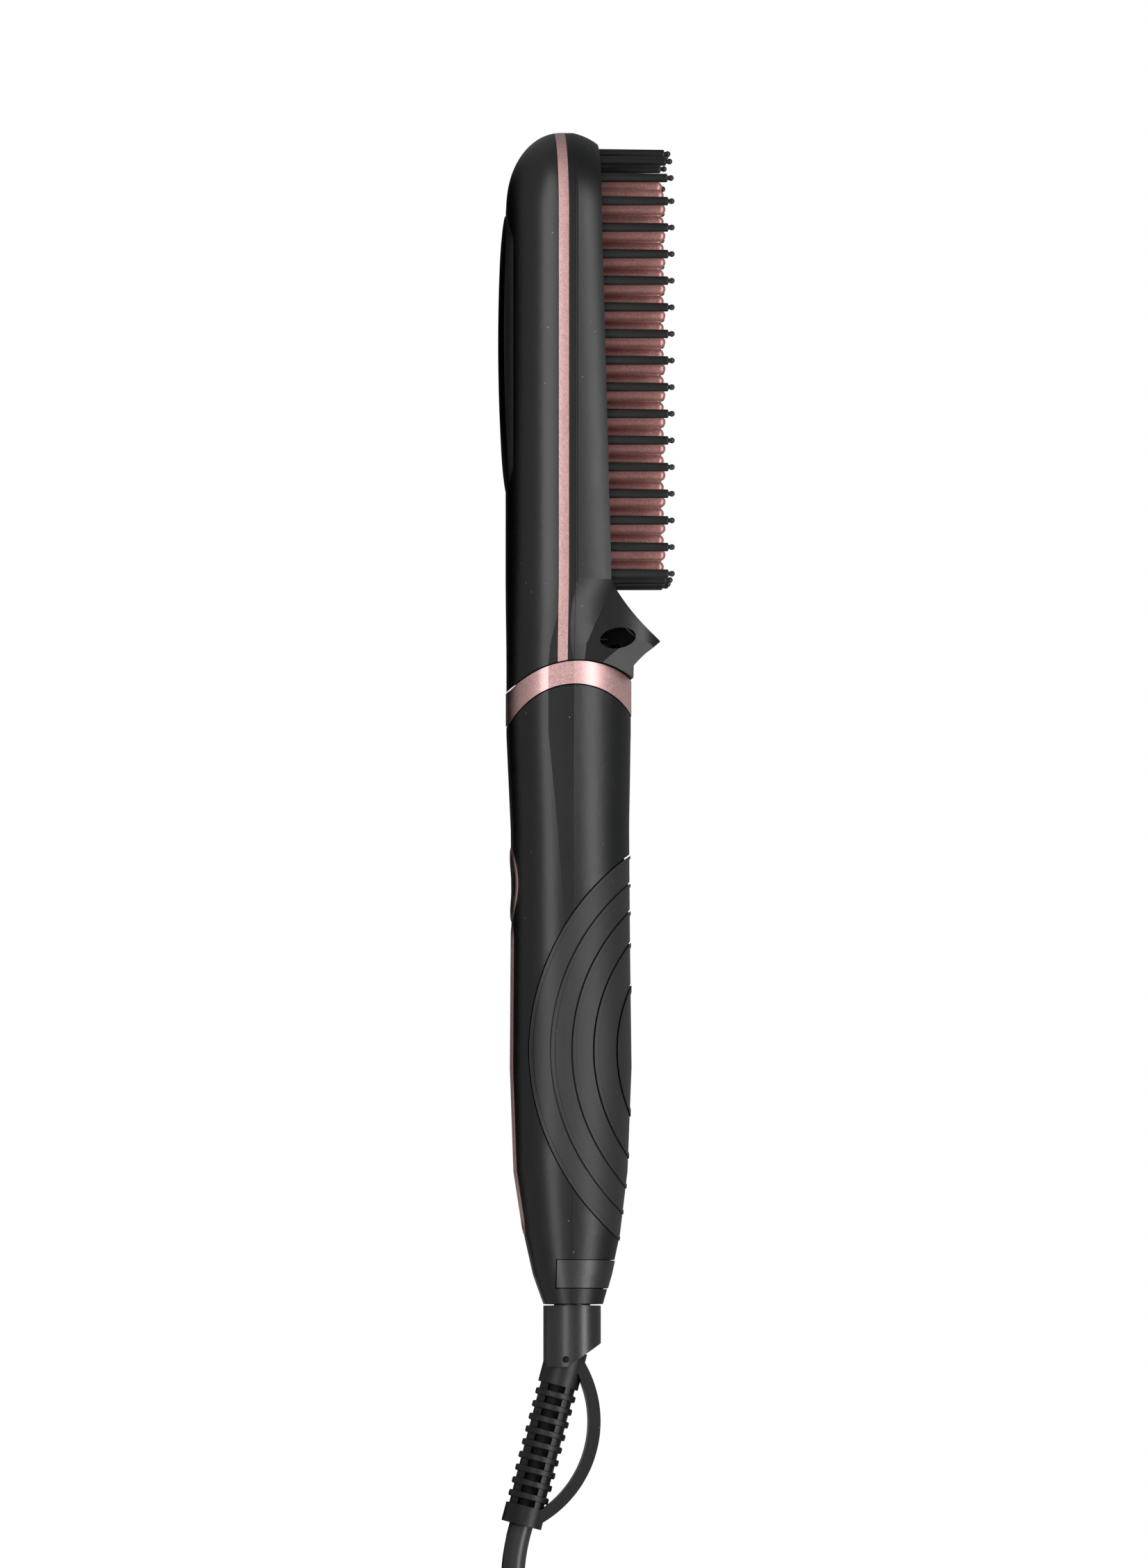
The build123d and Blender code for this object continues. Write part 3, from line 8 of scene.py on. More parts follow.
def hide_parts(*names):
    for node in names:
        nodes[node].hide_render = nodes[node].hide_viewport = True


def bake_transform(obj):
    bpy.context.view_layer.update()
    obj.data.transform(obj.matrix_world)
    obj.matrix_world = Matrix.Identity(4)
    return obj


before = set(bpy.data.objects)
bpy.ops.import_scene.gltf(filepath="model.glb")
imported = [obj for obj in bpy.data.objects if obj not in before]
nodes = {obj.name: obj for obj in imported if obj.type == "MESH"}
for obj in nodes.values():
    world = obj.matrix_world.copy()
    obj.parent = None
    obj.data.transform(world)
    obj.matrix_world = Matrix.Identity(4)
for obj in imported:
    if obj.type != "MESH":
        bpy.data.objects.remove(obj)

bl_info = {
    "name": "Hair straightening brush",
    "version": (1, 0, 0),
    "blender": (4, 5, 0),
    "location": "3D View > Sidebar > Brush",
    "description": "Dresses the packed brush: stage and camera, mains cord, and the finish of every piece",
    "category": "Object",
}

MM = 0.001

# The photograph's frame in millimetres of the brush: its height and its middle, then how far off the camera
# stands and its two small leans in degrees
PICTURE_HEIGHT = 395.2
PICTURE_MIDDLE = (11.57, 0.0, 18.36)
CAMERA_DISTANCE = 3300.0
LEAN_TO_BACK = 3.84
LEAN_TO_HANDLE = 3.03

# Where the stage's two lamps stand, what they face and their sizes across and along the brush;
# places in millimetres, sizes in metres
KEY_PLACE = (-350.0, 980.0, 1050.0)
KEY_TARGET = (-350.0, 0.0, 20.0)
KEY_SIZE = (0.34, 3.0)
LOW_PLACE = (5.0, 36.0, 1.0)
LOW_TARGET = (5.0, 36.0, 51.0)
LOW_SIZE = (0.022, 0.36)
ROOM_TINT = (0.97, 0.985, 1.0, 1.0)
WHITE = (1.0, 1.0, 1.0, 1.0)
# The backdrop whitens as a reflected ray's Y goes from the first value to the second, away from the camera
FAR_SIDE_FADE = (0.1, -0.5)
# The floor lies this much under the brush, in millimetres, so that the two never share a plane
FLOOR_GAP = 0.2

# Heights of the seams drawn on the shells of handle and head, and how far a seam's core and its soft edge
# reach above and below it, in millimetres
HANDLE_SEAMS = (17.2,)
HEAD_SEAMS = (13.15, 15.75, 17.5)
SEAM_CORE = 0.09
SEAM_EDGE = 0.17

# The grip pad's stepped arcs share one middle, in millimetres in x and z
PAD_MIDDLE = (-56.0, 65.2)
PAD_RADII = (30.0, 36.2, 42.4, 48.2, 53.6, 59.85)
PAD_STEP = 0.5

# Heights in millimetres between which the painted shade at the tines' roots fades into their body colour, and
# the bristles' tips scuff
TINE_ROOT_SHADE = (24.0, 30.0)
BRISTLE_TIP = (40.5, 42.7)

# Where the guard's mouth lies along the brush, in millimetres; on the brush's side of it the lead's colour is
# painted near-black as painted shade inside the guard
GUARD_END_X = -175.5

# Cord route, in millimetres: out of the guard and along the table to the hank
CORD_START = (-176.4, 0.0, 4.79)
RUN_ROUTE = (
    (-183.0, 0.0, 3.05),
    (-195.0, 0.4, 3.0),
    (-206.0, 4.5, 3.0),
    (-216.5, 12.5, 3.0),
    (-228.0, 21.6, 3.0),
    (-242.0, 24.3, 3.0),
    (-257.0, 24.0, 3.0),
)
# Each lap of the hank: its far fold, then the near fold that leads to the next lap.
# A fold is its middle in x, its radius at both ends and its height at both ends.
HANK_LAPS = (
    ((-342.0, 24.0, 24.0, 3.0, 3.0), (-239.0, 24.0, 18.0, 3.0, 3.0)),
    ((-342.0, 18.0, 18.0, 3.0, 3.0), (-245.0, 18.0, 18.0, 3.0, 9.0)),
    ((-341.0, 18.0, 18.0, 9.0, 9.0), (-236.0, 18.0, 24.0, 9.0, 9.0)),
    ((-342.0, 24.0, 24.0, 9.0, 9.0), (-243.0, 24.0, 18.0, 9.0, 15.0)),
    ((-340.5, 18.0, 18.0, 15.0, 15.0), None),
)
# Control points of each fold, besides one on the straight before it and one after it
FOLD_POINTS = 6
# From the last lap up and over the near folds to the plug
TAIL_ROUTE = (
    (-266.0, -18.0, 15.0),
    (-251.0, -20.5, 15.0),
    (-230.0, -24.5, 15.3),
    (-214.5, -10.5, 17.4),
    (-214.5, 9.5, 18.9),
    (-228.0, 23.0, 20.0),
    (-246.5, 22.0, 21.4),
    (-263.5, 8.5, 23.4),
    (-279.0, 0.0, 24.85),
    (-294.0, 0.0, 24.85),
)


class BrushFinishes(bpy.types.PropertyGroup):
    shell: FloatVectorProperty(
        name="Soft-touch shell", description="Colour of the coated shells of head and handle",
        default=(0.0054, 0.0058, 0.0056), subtype="COLOR", min=0.0, max=1.0)
    rose: FloatVectorProperty(
        name="Rose trim", description="Colour of the lacquered strip, collar and rims",
        default=(0.48, 0.292, 0.284), subtype="COLOR", min=0.0, max=1.0)
    copper: FloatVectorProperty(
        name="Heater coating", description="Colour of the heater plate and its tines",
        default=(0.41, 0.193, 0.175), subtype="COLOR", min=0.0, max=1.0)
    nylon: FloatVectorProperty(
        name="Bristles", description="Colour of the nylon bristle comb",
        default=(0.0085, 0.0085, 0.0085), subtype="COLOR", min=0.0, max=1.0)
    grip: FloatVectorProperty(
        name="Grip pad", description="Colour of the rubber grip",
        default=(0.0125, 0.0125, 0.0122), subtype="COLOR", min=0.0, max=1.0)
    guard: FloatVectorProperty(
        name="Cord guard", description="Colour of the flexible guard and its loop",
        default=(0.0045, 0.0045, 0.0047), subtype="COLOR", min=0.0, max=1.0)
    cord: FloatVectorProperty(
        name="Cord", description="Colour of the cord's jacket",
        default=(0.024, 0.024, 0.0245), subtype="COLOR", min=0.0, max=1.0)


class BrushCord(bpy.types.PropertyGroup):
    length: FloatProperty(
        name="Cord length", description="From the guard to the plug",
        default=1.8, min=1.0, max=3.0, unit="LENGTH")
    diameter: FloatProperty(
        name="Cord diameter", description="Across the jacket",
        default=0.006, min=0.004, max=0.009, unit="LENGTH")


class BrushStage(bpy.types.PropertyGroup):
    floor: FloatVectorProperty(
        name="Floor", description="Colour of the floor",
        default=(0.5, 0.5, 0.5), subtype="COLOR", min=0.0, max=1.0)
    floor_size: FloatProperty(
        name="Floor size", description="Side of the square floor",
        default=9.0, min=2.0, unit="LENGTH")
    key: FloatProperty(
        name="Key light", description="Power of the large soft light above the bristles",
        default=34.0, min=0.0, unit="POWER")
    side: FloatProperty(
        name="Low light", description="Power of the slim light that lies on the floor beside the brush",
        default=0.095, min=0.0, unit="POWER")
    room: FloatProperty(
        name="Room light", description="Strength of the even light all round",
        default=0.13, min=0.0, max=1.0)
    backdrop: FloatProperty(
        name="Backdrop in reflections",
        description="How white the studio's far side looks in metal and gloss",
        default=0.25, min=0.0, max=1.0)
    pale: FloatProperty(
        name="Floor paleness", description="How much paler the floor looks than its own colour",
        default=0.42, min=0.0, max=1.0)


class Grade:
    """A number, colour or direction that changes over a surface, used in plain sums."""

    def __init__(self, finish, socket):
        self.finish = finish
        self.socket = socket

    def sum(self, operation, first, second=0.0):
        return self.finish.node("ShaderNodeMath", {"operation": operation}, {0: first, 1: second})

    def __add__(self, other):
        return self.sum("ADD", self, other)

    __radd__ = __add__

    def __sub__(self, other):
        return self.sum("SUBTRACT", self, other)

    def __mul__(self, other):
        return self.sum("MULTIPLY", self, other)

    __rmul__ = __mul__

    def __pow__(self, other):
        return self.sum("POWER", self, other)

    def __gt__(self, other):
        return self.sum("GREATER_THAN", self, other)

    def __lt__(self, other):
        return self.sum("LESS_THAN", self, other)


class Finish:
    """One material, built up from a plain coat with what changes over the surface."""

    def __init__(self, name, colour, roughness, metallic=0.0, **constants):
        self.material = bpy.data.materials.new(name)
        self.material.use_nodes = True
        self.material.diffuse_color = (*colour, 1.0)
        self.tree = self.material.node_tree
        self.coat = self.tree.nodes["Principled BSDF"]
        self.colour = colour
        self.coat.inputs["Base Color"].default_value = (*colour, 1.0)
        self.coat.inputs["Roughness"].default_value = roughness
        self.coat.inputs["Metallic"].default_value = metallic
        for socket, value in constants.items():
            self.coat.inputs[socket.replace("_", " ")].default_value = value
        self.place = self.node("ShaderNodeTexCoord", output="Object")

    def node(self, kind, settings=None, values=None, output=0):
        """Adds a node: its settings first, then the values or links of its sockets."""
        made = self.tree.nodes.new(kind)
        for setting, value in (settings or {}).items():
            setattr(made, setting, value)
        for socket, value in (values or {}).items():
            if isinstance(value, Grade):
                self.tree.links.new(value.socket, made.inputs[socket])
            else:
                made.inputs[socket].default_value = value
        return Grade(self, made.outputs[output])

    def axis(self, name):
        """How far along X, Y or Z a point of the surface lies."""
        return self.node("ShaderNodeSeparateXYZ", values={0: self.place}, output=name)

    def cloud(self, scale, detail=3.0, roughness=0.5, stretch=None):
        """Soft mottling between 0 and 1; scale is in spots a metre."""
        place = self.place
        if stretch:
            place = self.node("ShaderNodeMapping", values={"Vector": place, "Scale": stretch})
        return self.node("ShaderNodeTexNoise", values={
            "Vector": place, "Scale": scale, "Detail": detail, "Roughness": roughness}, output="Fac")

    def grains(self, scale, output="Distance"):
        """Separate grains: the distance from the nearest one, or a colour for each."""
        return self.node("ShaderNodeTexVoronoi", values={"Vector": self.place, "Scale": scale}, output=output)

    def span(self, value, low, high, start=0.0, end=1.0):
        """Spreads a value between low and high over start to end, and holds it there."""
        return self.node("ShaderNodeMapRange", {"clamp": True}, {
            "Value": value, "From Min": low, "From Max": high, "To Min": start, "To Max": end})

    def blend(self, factor, first, second):
        """From one colour to another; the mix node's colours are its sockets 6 and 7, and its output 2."""
        values = {0: factor}
        for socket, colour in ((6, first), (7, second)):
            values[socket] = colour if isinstance(colour, Grade) else (*colour, 1.0)
        return self.node("ShaderNodeMix", {"data_type": "RGBA"}, values, output=2)

    def shade(self, factor, low=0.8, high=1.2):
        """The finish's own colour, darker where factor is 0 and lighter where it is 1."""
        darker = tuple(channel * low for channel in self.colour)
        lighter = tuple(min(1.0, channel * high) for channel in self.colour)
        return self.blend(factor, darker, lighter)

    def set(self, socket, value):
        """Feeds one of the coat's sockets with what changes over the surface."""
        self.tree.links.new(value.socket, self.coat.inputs[socket])

    def relief(self, height, depth, strength=1.0, under=None):
        """Raises the surface by height times depth, in metres, on top of another relief."""
        values = {"Height": height, "Distance": depth, "Strength": strength}
        if under is not None:
            values["Normal"] = under
        return self.node("ShaderNodeBump", values=values)

    def apply(self, *names):
        """Gives the finish to CAD nodes by name."""
        for name in names:
            node = nodes[name]
            for index in range(max(1, len(node.data.materials))):
                if index < len(node.data.materials):
                    node.data.materials[index] = self.material
                else:
                    node.data.materials.append(self.material)


def soft_touch(name, colour, seams=()):
    """Matt coating with a fine grain, faint handling marks, specks of dust and the shadows of its seams."""
    finish = Finish(name, colour, 0.4, Specular_IOR_Level=0.36)
    broad = finish.cloud(55.0, 4.0, 0.55)
    fine = finish.cloud(2600.0, 2.0, 0.6)
    rubbed = finish.span(finish.cloud(90.0, 5.0, 0.6, (1.0, 2.2, 2.2)), 0.45, 0.8)
    dust = finish.grains(230.0) < 0.045
    base = finish.shade(broad * 0.7 + fine * 0.3, 0.82, 1.2)
    base = finish.blend(dust * 0.35, base, (0.22, 0.22, 0.21))
    grain = finish.relief(fine, 0.00003, 0.5)
    skin = finish.relief(finish.cloud(700.0, 2.0), 0.00003, 0.35, grain)
    for seam in seams:
        away = (finish.axis("Z") - seam * MM) ** 2.0
        line = finish.span(away, (SEAM_CORE * MM) ** 2, (SEAM_EDGE * MM) ** 2, 1.0, 0.0)
        base = finish.blend(line * 0.85, base, (0.0, 0.0, 0.0))
        skin = finish.relief(line, -0.0001, 0.8, skin)
    finish.set("Base Color", base)
    finish.set("Roughness", 0.36 + 0.06 * broad + 0.05 * fine + rubbed * -0.04)
    finish.set("Normal", skin)
    return finish


def rose_lacquer(name, colour):
    """Satin rose lacquer over fine metal flake, with a slight orange-peel skin."""
    finish = Finish(name, colour, 0.34, 0.5, Coat_Roughness=0.2)
    flake = finish.node("ShaderNodeSeparateColor", values={0: finish.grains(5200.0, "Color")}, output=0)
    broad = finish.cloud(70.0, 3.0)
    finish.set("Base Color", finish.shade(flake * 0.7 + broad * 0.3, 0.7, 1.26))
    finish.set("Roughness", 0.28 + 0.14 * flake + 0.06 * broad)
    finish.set("Coat Weight", 0.25 + 0.2 * broad)
    skin = finish.relief(finish.cloud(900.0, 1.0), 0.00003, 0.3)
    finish.set("Normal", finish.relief(flake, 0.000012, 0.5, skin))
    return finish


def copper_coating(name, colour):
    """Ceramic coating on cast metal: a pebbled skin, paler on raised grains, with painted shade darkening the
    tines' roots.
    """
    finish = Finish(name, colour, 0.4, 0.55, Coat_Roughness=0.3)
    pebble = finish.cloud(1500.0, 3.0, 0.6)
    spots = finish.grains(2300.0)
    root_shade = finish.span(finish.axis("Z"), *(height * MM for height in TINE_ROOT_SHADE))
    light = finish.span(pebble * 0.6 + spots * 0.4, 0.25, 0.75)
    body = finish.shade(light, 0.72, 1.32)
    # The tines' roots are painted darker by height: painted shade among the bristles.
    finish.set("Base Color", finish.blend(root_shade, tuple(0.62 * c for c in colour), body))
    finish.set("Roughness", 0.36 + 0.16 * pebble)
    finish.set("Coat Weight", 0.15 + 0.2 * light)
    skin = finish.relief(pebble, 0.00006, 0.5)
    finish.set("Normal", finish.relief(spots, 0.00004, 0.35, skin))
    return finish


def moulded_nylon(name, colour):
    """Black nylon with flow streaks along the bristles and pale scuffs at their tips."""
    finish = Finish(name, colour, 0.36, Specular_IOR_Level=0.4)
    streak = finish.cloud(900.0, 3.0, 0.55, (1.0, 1.0, 0.12))
    fine = finish.cloud(3000.0, 2.0)
    tip = finish.span(finish.axis("Z"), *(height * MM for height in BRISTLE_TIP))
    base = finish.shade(streak, 0.75, 1.35)
    finish.set("Base Color", finish.blend(tip * fine * 0.25, base, (0.09, 0.09, 0.09)))
    finish.set("Roughness", 0.3 + 0.14 * streak + 0.05 * fine)
    finish.set("Normal", finish.relief(streak, 0.00005, 0.5, finish.relief(fine, 0.00002, 0.4)))
    return finish


def grip_rubber(name, colour):
    """Rubber pad whose bands rise gently towards each stepped arc, with a matt fine grain."""
    finish = Finish(name, colour, 0.5, Specular_IOR_Level=0.36, Sheen_Weight=0.08)
    along = finish.axis("X") - PAD_MIDDLE[0] * MM
    up = finish.axis("Z") - PAD_MIDDLE[1] * MM
    radius = (along * along + up * up) ** 0.5
    rise = 0.0
    for inner, outer in zip(PAD_RADII, PAD_RADII[1:]):
        rise = rise + finish.span(radius, inner * MM, outer * MM) - (radius > outer * MM)
    fine = finish.cloud(2200.0, 2.0, 0.6)
    broad = finish.cloud(60.0, 4.0)
    dust = finish.grains(300.0) < 0.04
    base = finish.shade(broad * 0.6 + fine * 0.4, 0.8, 1.25)
    finish.set("Base Color", finish.blend(dust * 0.3, base, (0.2, 0.2, 0.2)))
    finish.set("Roughness", 0.46 + 0.1 * fine + 0.05 * broad)
    bands = finish.relief(rise, PAD_STEP * MM)
    finish.set("Normal", finish.relief(fine, 0.00004, 0.5, bands))
    return finish


def flexible_rubber(name, colour):
    """Satin moulded rubber with a sandy grain."""
    finish = Finish(name, colour, 0.42, Specular_IOR_Level=0.38)
    sand = finish.cloud(2400.0, 3.0, 0.65)
    broad = finish.cloud(120.0, 3.0)
    dust = finish.grains(260.0) < 0.05
    base = finish.shade(sand * 0.5 + broad * 0.5, 0.75, 1.3)
    finish.set("Base Color", finish.blend(dust * 0.25, base, (0.16, 0.16, 0.16)))
    finish.set("Roughness", 0.36 + 0.14 * sand + 0.06 * broad)
    finish.set("Normal", finish.relief(sand, 0.00006, 0.5))
    return finish


def cord_jacket(name, colour, guard_end=None):
    """Smooth PVC jacket with handling marks; where it lies inside the guard its colour is painted near-black
    as painted shade, and it is duller there.
    """
    finish = Finish(name, colour, 0.38, Specular_IOR_Level=0.5)
    marks = finish.cloud(160.0, 4.0, 0.6)
    fine = finish.cloud(1800.0, 2.0)
    base = finish.shade(marks, 0.78, 1.28)
    roughness = 0.32 + 0.14 * marks
    if guard_end is not None:
        # Inside the guard the base colour is blended to near-black: painted shade of the guard, not a colour
        # of the jacket.
        inside = finish.span(finish.axis("X"), guard_end, guard_end + MM)
        base = finish.blend(inside, base, (0.002, 0.002, 0.002))
        roughness = roughness + inside * 0.5
    finish.set("Base Color", base)
    finish.set("Roughness", roughness)
    finish.set("Normal", finish.relief(fine, 0.00003, 0.4))
    return finish


def grained_gloss(name, colour):
    """Satin black moulding with a very fine grain in its skin and a thin gloss on the grain."""
    finish = Finish(name, colour, 0.3, Specular_IOR_Level=0.5, Coat_Roughness=0.26)
    grain = finish.cloud(3200.0, 2.0, 0.6)
    broad = finish.cloud(80.0, 3.0)
    finish.set("Base Color", finish.shade(grain, 0.75, 1.3))
    finish.set("Roughness", 0.3 + 0.14 * grain + 0.04 * broad)
    finish.set("Coat Weight", 0.1 * grain)
    finish.set("Normal", finish.relief(grain, 0.00006, 0.6))
    return finish


def smoked_window(name, colour):
    """Dark polished window with faint wiping marks."""
    finish = Finish(name, colour, 0.07, Specular_IOR_Level=0.6, Coat_Roughness=0.04)
    wipe = finish.cloud(130.0, 5.0, 0.65, (0.3, 1.6, 1.0))
    finish.set("Base Color", finish.shade(wipe, 0.7, 1.4))
    finish.set("Roughness", 0.05 + 0.08 * finish.span(wipe, 0.4, 0.75))
    finish.set("Coat Weight", 0.6 + 0.2 * wipe)
    return finish


def plain_moulding(name, colour, roughness=0.4):
    """Moulded engineering plastic with spark-eroded grain."""
    finish = Finish(name, colour, roughness)
    grain = finish.cloud(2000.0, 3.0, 0.6)
    broad = finish.cloud(100.0, 3.0)
    finish.set("Base Color", finish.shade(grain * 0.5 + broad * 0.5, 0.78, 1.25))
    finish.set("Roughness", (roughness - 0.06) + 0.14 * grain)
    finish.set("Normal", finish.relief(grain, 0.00005, 0.5))
    return finish


def worked_metal(name, colour, roughness=0.28, stretch=(1.0, 1.0, 1.0)):
    """Bare metal with tool marks, duller in its low spots."""
    finish = Finish(name, colour, roughness, 1.0)
    marks = finish.cloud(1400.0, 3.0, 0.6, stretch)
    tarnish = finish.cloud(160.0, 4.0)
    finish.set("Base Color", finish.shade(tarnish * 0.6 + marks * 0.4, 0.8, 1.12))
    finish.set("Roughness", (roughness - 0.06) + 0.16 * marks)
    finish.set("Normal", finish.relief(marks, 0.00003, 0.4))
    return finish


def fired_ceramic(name, colour):
    """Unglazed fired ceramic, slightly speckled."""
    finish = Finish(name, colour, 0.7)
    speck = finish.cloud(1900.0, 3.0, 0.7)
    finish.set("Base Color", finish.shade(speck, 0.85, 1.08))
    finish.set("Roughness", 0.6 + 0.2 * speck)
    finish.set("Normal", finish.relief(speck, 0.00006, 0.5))
    return finish


def circuit_board(name, colour):
    """Green solder mask over copper tracks that show as paler lines."""
    finish = Finish(name, colour, 0.3)
    rows = finish.node("ShaderNodeTexBrick", {"offset": 0.5}, {
        "Vector": finish.place, "Scale": 260.0, "Mortar Size": 0.04, "Color1": (0, 0, 0, 1),
        "Color2": (0.4, 0.4, 0.4, 1), "Mortar": (1, 1, 1, 1)}, output="Color")
    tracks = finish.node("ShaderNodeSeparateColor", values={0: rows}, output=0)
    finish.set("Base Color", finish.shade(tracks, 0.8, 1.7))
    finish.set("Roughness", 0.26 + 0.12 * finish.cloud(500.0))
    finish.set("Normal", finish.relief(tracks, 0.00004, 0.5))
    return finish


def fold_route(fold, first_angle):
    """Points of half a turn of the hank, with one on the straight before and after it."""
    middle, start_radius, end_radius, start_z, end_z = fold
    step = 180.0 / FOLD_POINTS
    half_step = math.radians(step / 2)
    swell = 1.0 / math.cos(half_step)
    reach = math.tan(half_step)
    side = 1.0 if first_angle == 90.0 else -1.0
    route = [(middle + side * start_radius * reach, side * start_radius, start_z)]
    for k in range(FOLD_POINTS):
        share = (k + 0.5) / FOLD_POINTS
        share = share * share * (3 - 2 * share)
        angle = math.radians(first_angle + (k + 0.5) * step)
        radius = (start_radius + (end_radius - start_radius) * share) * swell
        height = start_z + (end_z - start_z) * share
        route.append((middle + radius * math.cos(angle), radius * math.sin(angle), height))
    route.append((middle + side * end_radius * reach, -side * end_radius, end_z))
    return route


def cord_route():
    """The whole cord: the run from the guard, the laps of the hank and the tail to the plug."""
    route = [CORD_START, *RUN_ROUTE]
    for far, near in HANK_LAPS:
        route += fold_route(far, 90.0)
        if near:
            route += fold_route(near, 270.0)
    return [Vector(point) * MM for point in (*route, *TAIL_ROUTE)]


def nurbs_curve(name, points):
    """A smooth curve with the points as its control points."""
    curve = bpy.data.curves.new(name, "CURVE")
    curve.dimensions = "3D"
    curve.resolution_u = 6
    spline = curve.splines.new("NURBS")
    spline.points.add(len(points) - 1)
    for target, point in zip(spline.points, points):
        target.co = (*point, 1.0)
    spline.order_u = 3
    spline.use_endpoint_u = True
    holder = bpy.data.objects.new(name, curve)
    bpy.context.scene.collection.objects.link(holder)
    return holder


def select_only(piece):
    bpy.ops.object.select_all(action="DESELECT")
    piece.select_set(True)
    bpy.context.view_layer.objects.active = piece


class BRUSH_OT_stage(bpy.types.Operator):
    """Sets the floor, the soft studio lights and the camera of the photograph"""

    bl_idname = "brush.stage"
    bl_label = "Stage and camera"

    def execute(self, context):
        settings = context.scene.brush_stage
        self.camera(context)
        self.floor(settings)
        self.room(context, settings)
        self.lamp(context, "key_light", KEY_PLACE, KEY_TARGET, KEY_SIZE, settings.key)
        self.lamp(context, "low_light", LOW_PLACE, LOW_TARGET, LOW_SIZE, settings.side)
        return {"FINISHED"}

    def camera(self, context):
        """Stands the photograph's camera beside the brush, turned a little to its back and its handle."""
        back, handle = math.radians(LEAN_TO_BACK), math.radians(LEAN_TO_HANDLE)
        right = Vector((0.0, math.sin(back), math.cos(back)))
        up = Vector((math.cos(handle), math.sin(handle), 0.0))
        toward = right.cross(up).normalized()
        up = toward.cross(right)
        lens = bpy.data.cameras.new("photo_camera")
        lens.sensor_fit = "AUTO"
        lens.sensor_width = 36.0
        lens.lens = lens.sensor_width * CAMERA_DISTANCE / PICTURE_HEIGHT
        lens.clip_start, lens.clip_end = 0.05, 30.0
        camera = bpy.data.objects.new("photo_camera", lens)
        context.scene.collection.objects.link(camera)
        turn = Matrix((right, up, toward)).transposed().to_4x4()
        place = (Vector(PICTURE_MIDDLE) + toward * CAMERA_DISTANCE) * MM
        camera.matrix_world = Matrix.Translation(place) @ turn
        context.scene.camera = camera

    def floor(self, settings):
        """Lays a pale floor that takes shadows, looks a little paler to the camera and clear from below."""
        bpy.ops.object.select_all(action="DESELECT")
        place = (0.0, 0.0, -FLOOR_GAP * MM)
        bpy.ops.mesh.primitive_plane_add(size=settings.floor_size, location=place)
        floor = bpy.context.object
        floor.name = "floor"
        finish = Finish("pale_floor", tuple(settings.floor), 0.75)
        finish.set("Base Color", finish.shade(finish.cloud(3.0, 4.0), 0.985, 1.015))
        finish.set("Roughness", 0.7 + 0.1 * finish.cloud(40.0))
        finish.set("Normal", finish.relief(finish.cloud(300.0, 3.0), 0.0001, 0.2))
        tree = finish.tree
        under = finish.node("ShaderNodeNewGeometry", output="Backfacing")
        clear = tree.nodes.new("ShaderNodeBsdfTransparent")
        surface = finish.node("ShaderNodeMixShader", values={0: under}).socket.node
        glow = tree.nodes.new("ShaderNodeEmission")
        lit = tree.nodes.new("ShaderNodeAddShader")
        seen = finish.node("ShaderNodeLightPath", output="Is Camera Ray") * settings.pale
        tree.links.new(seen.socket, glow.inputs["Strength"])
        tree.links.new(finish.coat.outputs[0], lit.inputs[0])
        tree.links.new(glow.outputs[0], lit.inputs[1])
        tree.links.new(lit.outputs[0], surface.inputs[1])
        tree.links.new(clear.outputs[0], surface.inputs[2])
        tree.links.new(surface.outputs[0], tree.nodes["Material Output"].inputs["Surface"])
        floor.data.materials.append(finish.material)

    def room(self, context, settings):
        """Even light all round, whiter on the far side in reflections, and white to the camera."""
        world = bpy.data.worlds.new("studio_room")
        context.scene.world = world
        world.use_nodes = True
        tree = world.node_tree
        new, join = tree.nodes.new, tree.links.new
        glows = {}
        for name, colour, strength in (
            ("even", ROOM_TINT, settings.room),
            ("far_side", ROOM_TINT, settings.backdrop),
            ("white", WHITE, 1.0),
        ):
            glows[name] = new("ShaderNodeBackground")
            glows[name].inputs["Color"].default_value = colour
            glows[name].inputs["Strength"].default_value = strength
        path = new("ShaderNodeLightPath")
        sky = new("ShaderNodeTexCoord")
        split = new("ShaderNodeSeparateXYZ")
        behind = new("ShaderNodeMapRange")
        behind.inputs["From Min"].default_value = FAR_SIDE_FADE[0]
        behind.inputs["From Max"].default_value = FAR_SIDE_FADE[1]
        join(sky.outputs["Generated"], split.inputs[0])
        join(split.outputs["Y"], behind.inputs["Value"])
        mirrored = new("ShaderNodeMath")
        mirrored.operation = "MAXIMUM"
        join(path.outputs["Is Glossy Ray"], mirrored.inputs[0])
        join(path.outputs["Is Transmission Ray"], mirrored.inputs[1])
        share = new("ShaderNodeMath")
        share.operation = "MULTIPLY"
        join(mirrored.outputs[0], share.inputs[0])
        join(behind.outputs[0], share.inputs[1])
        far = new("ShaderNodeMixShader")
        join(share.outputs[0], far.inputs[0])
        join(glows["even"].outputs[0], far.inputs[1])
        join(glows["far_side"].outputs[0], far.inputs[2])
        seen = new("ShaderNodeMixShader")
        join(path.outputs["Is Camera Ray"], seen.inputs[0])
        join(far.outputs[0], seen.inputs[1])
        join(glows["white"].outputs[0], seen.inputs[2])
        join(seen.outputs[0], tree.nodes["World Output"].inputs["Surface"])

    def lamp(self, context, name, place, target, size, power):
        """A soft lamp whose long side runs along the brush; the camera doesn't see it."""
        light = bpy.data.lights.new(name, "AREA")
        light.shape = "RECTANGLE"
        light.size, light.size_y = size
        light.energy = power
        lamp = bpy.data.objects.new(name, light)
        lamp.visible_camera = False
        context.scene.collection.objects.link(lamp)
        spot = Vector(place) * MM
        back = (spot - Vector(target) * MM).normalized()
        long_side = Vector((1.0, 0.0, 0.0))
        long_side = (long_side - back * long_side.dot(back)).normalized()
        across = long_side.cross(back)
        turn = Matrix((across, long_side, back)).transposed().to_4x4()
        lamp.matrix_world = Matrix.Translation(spot) @ turn


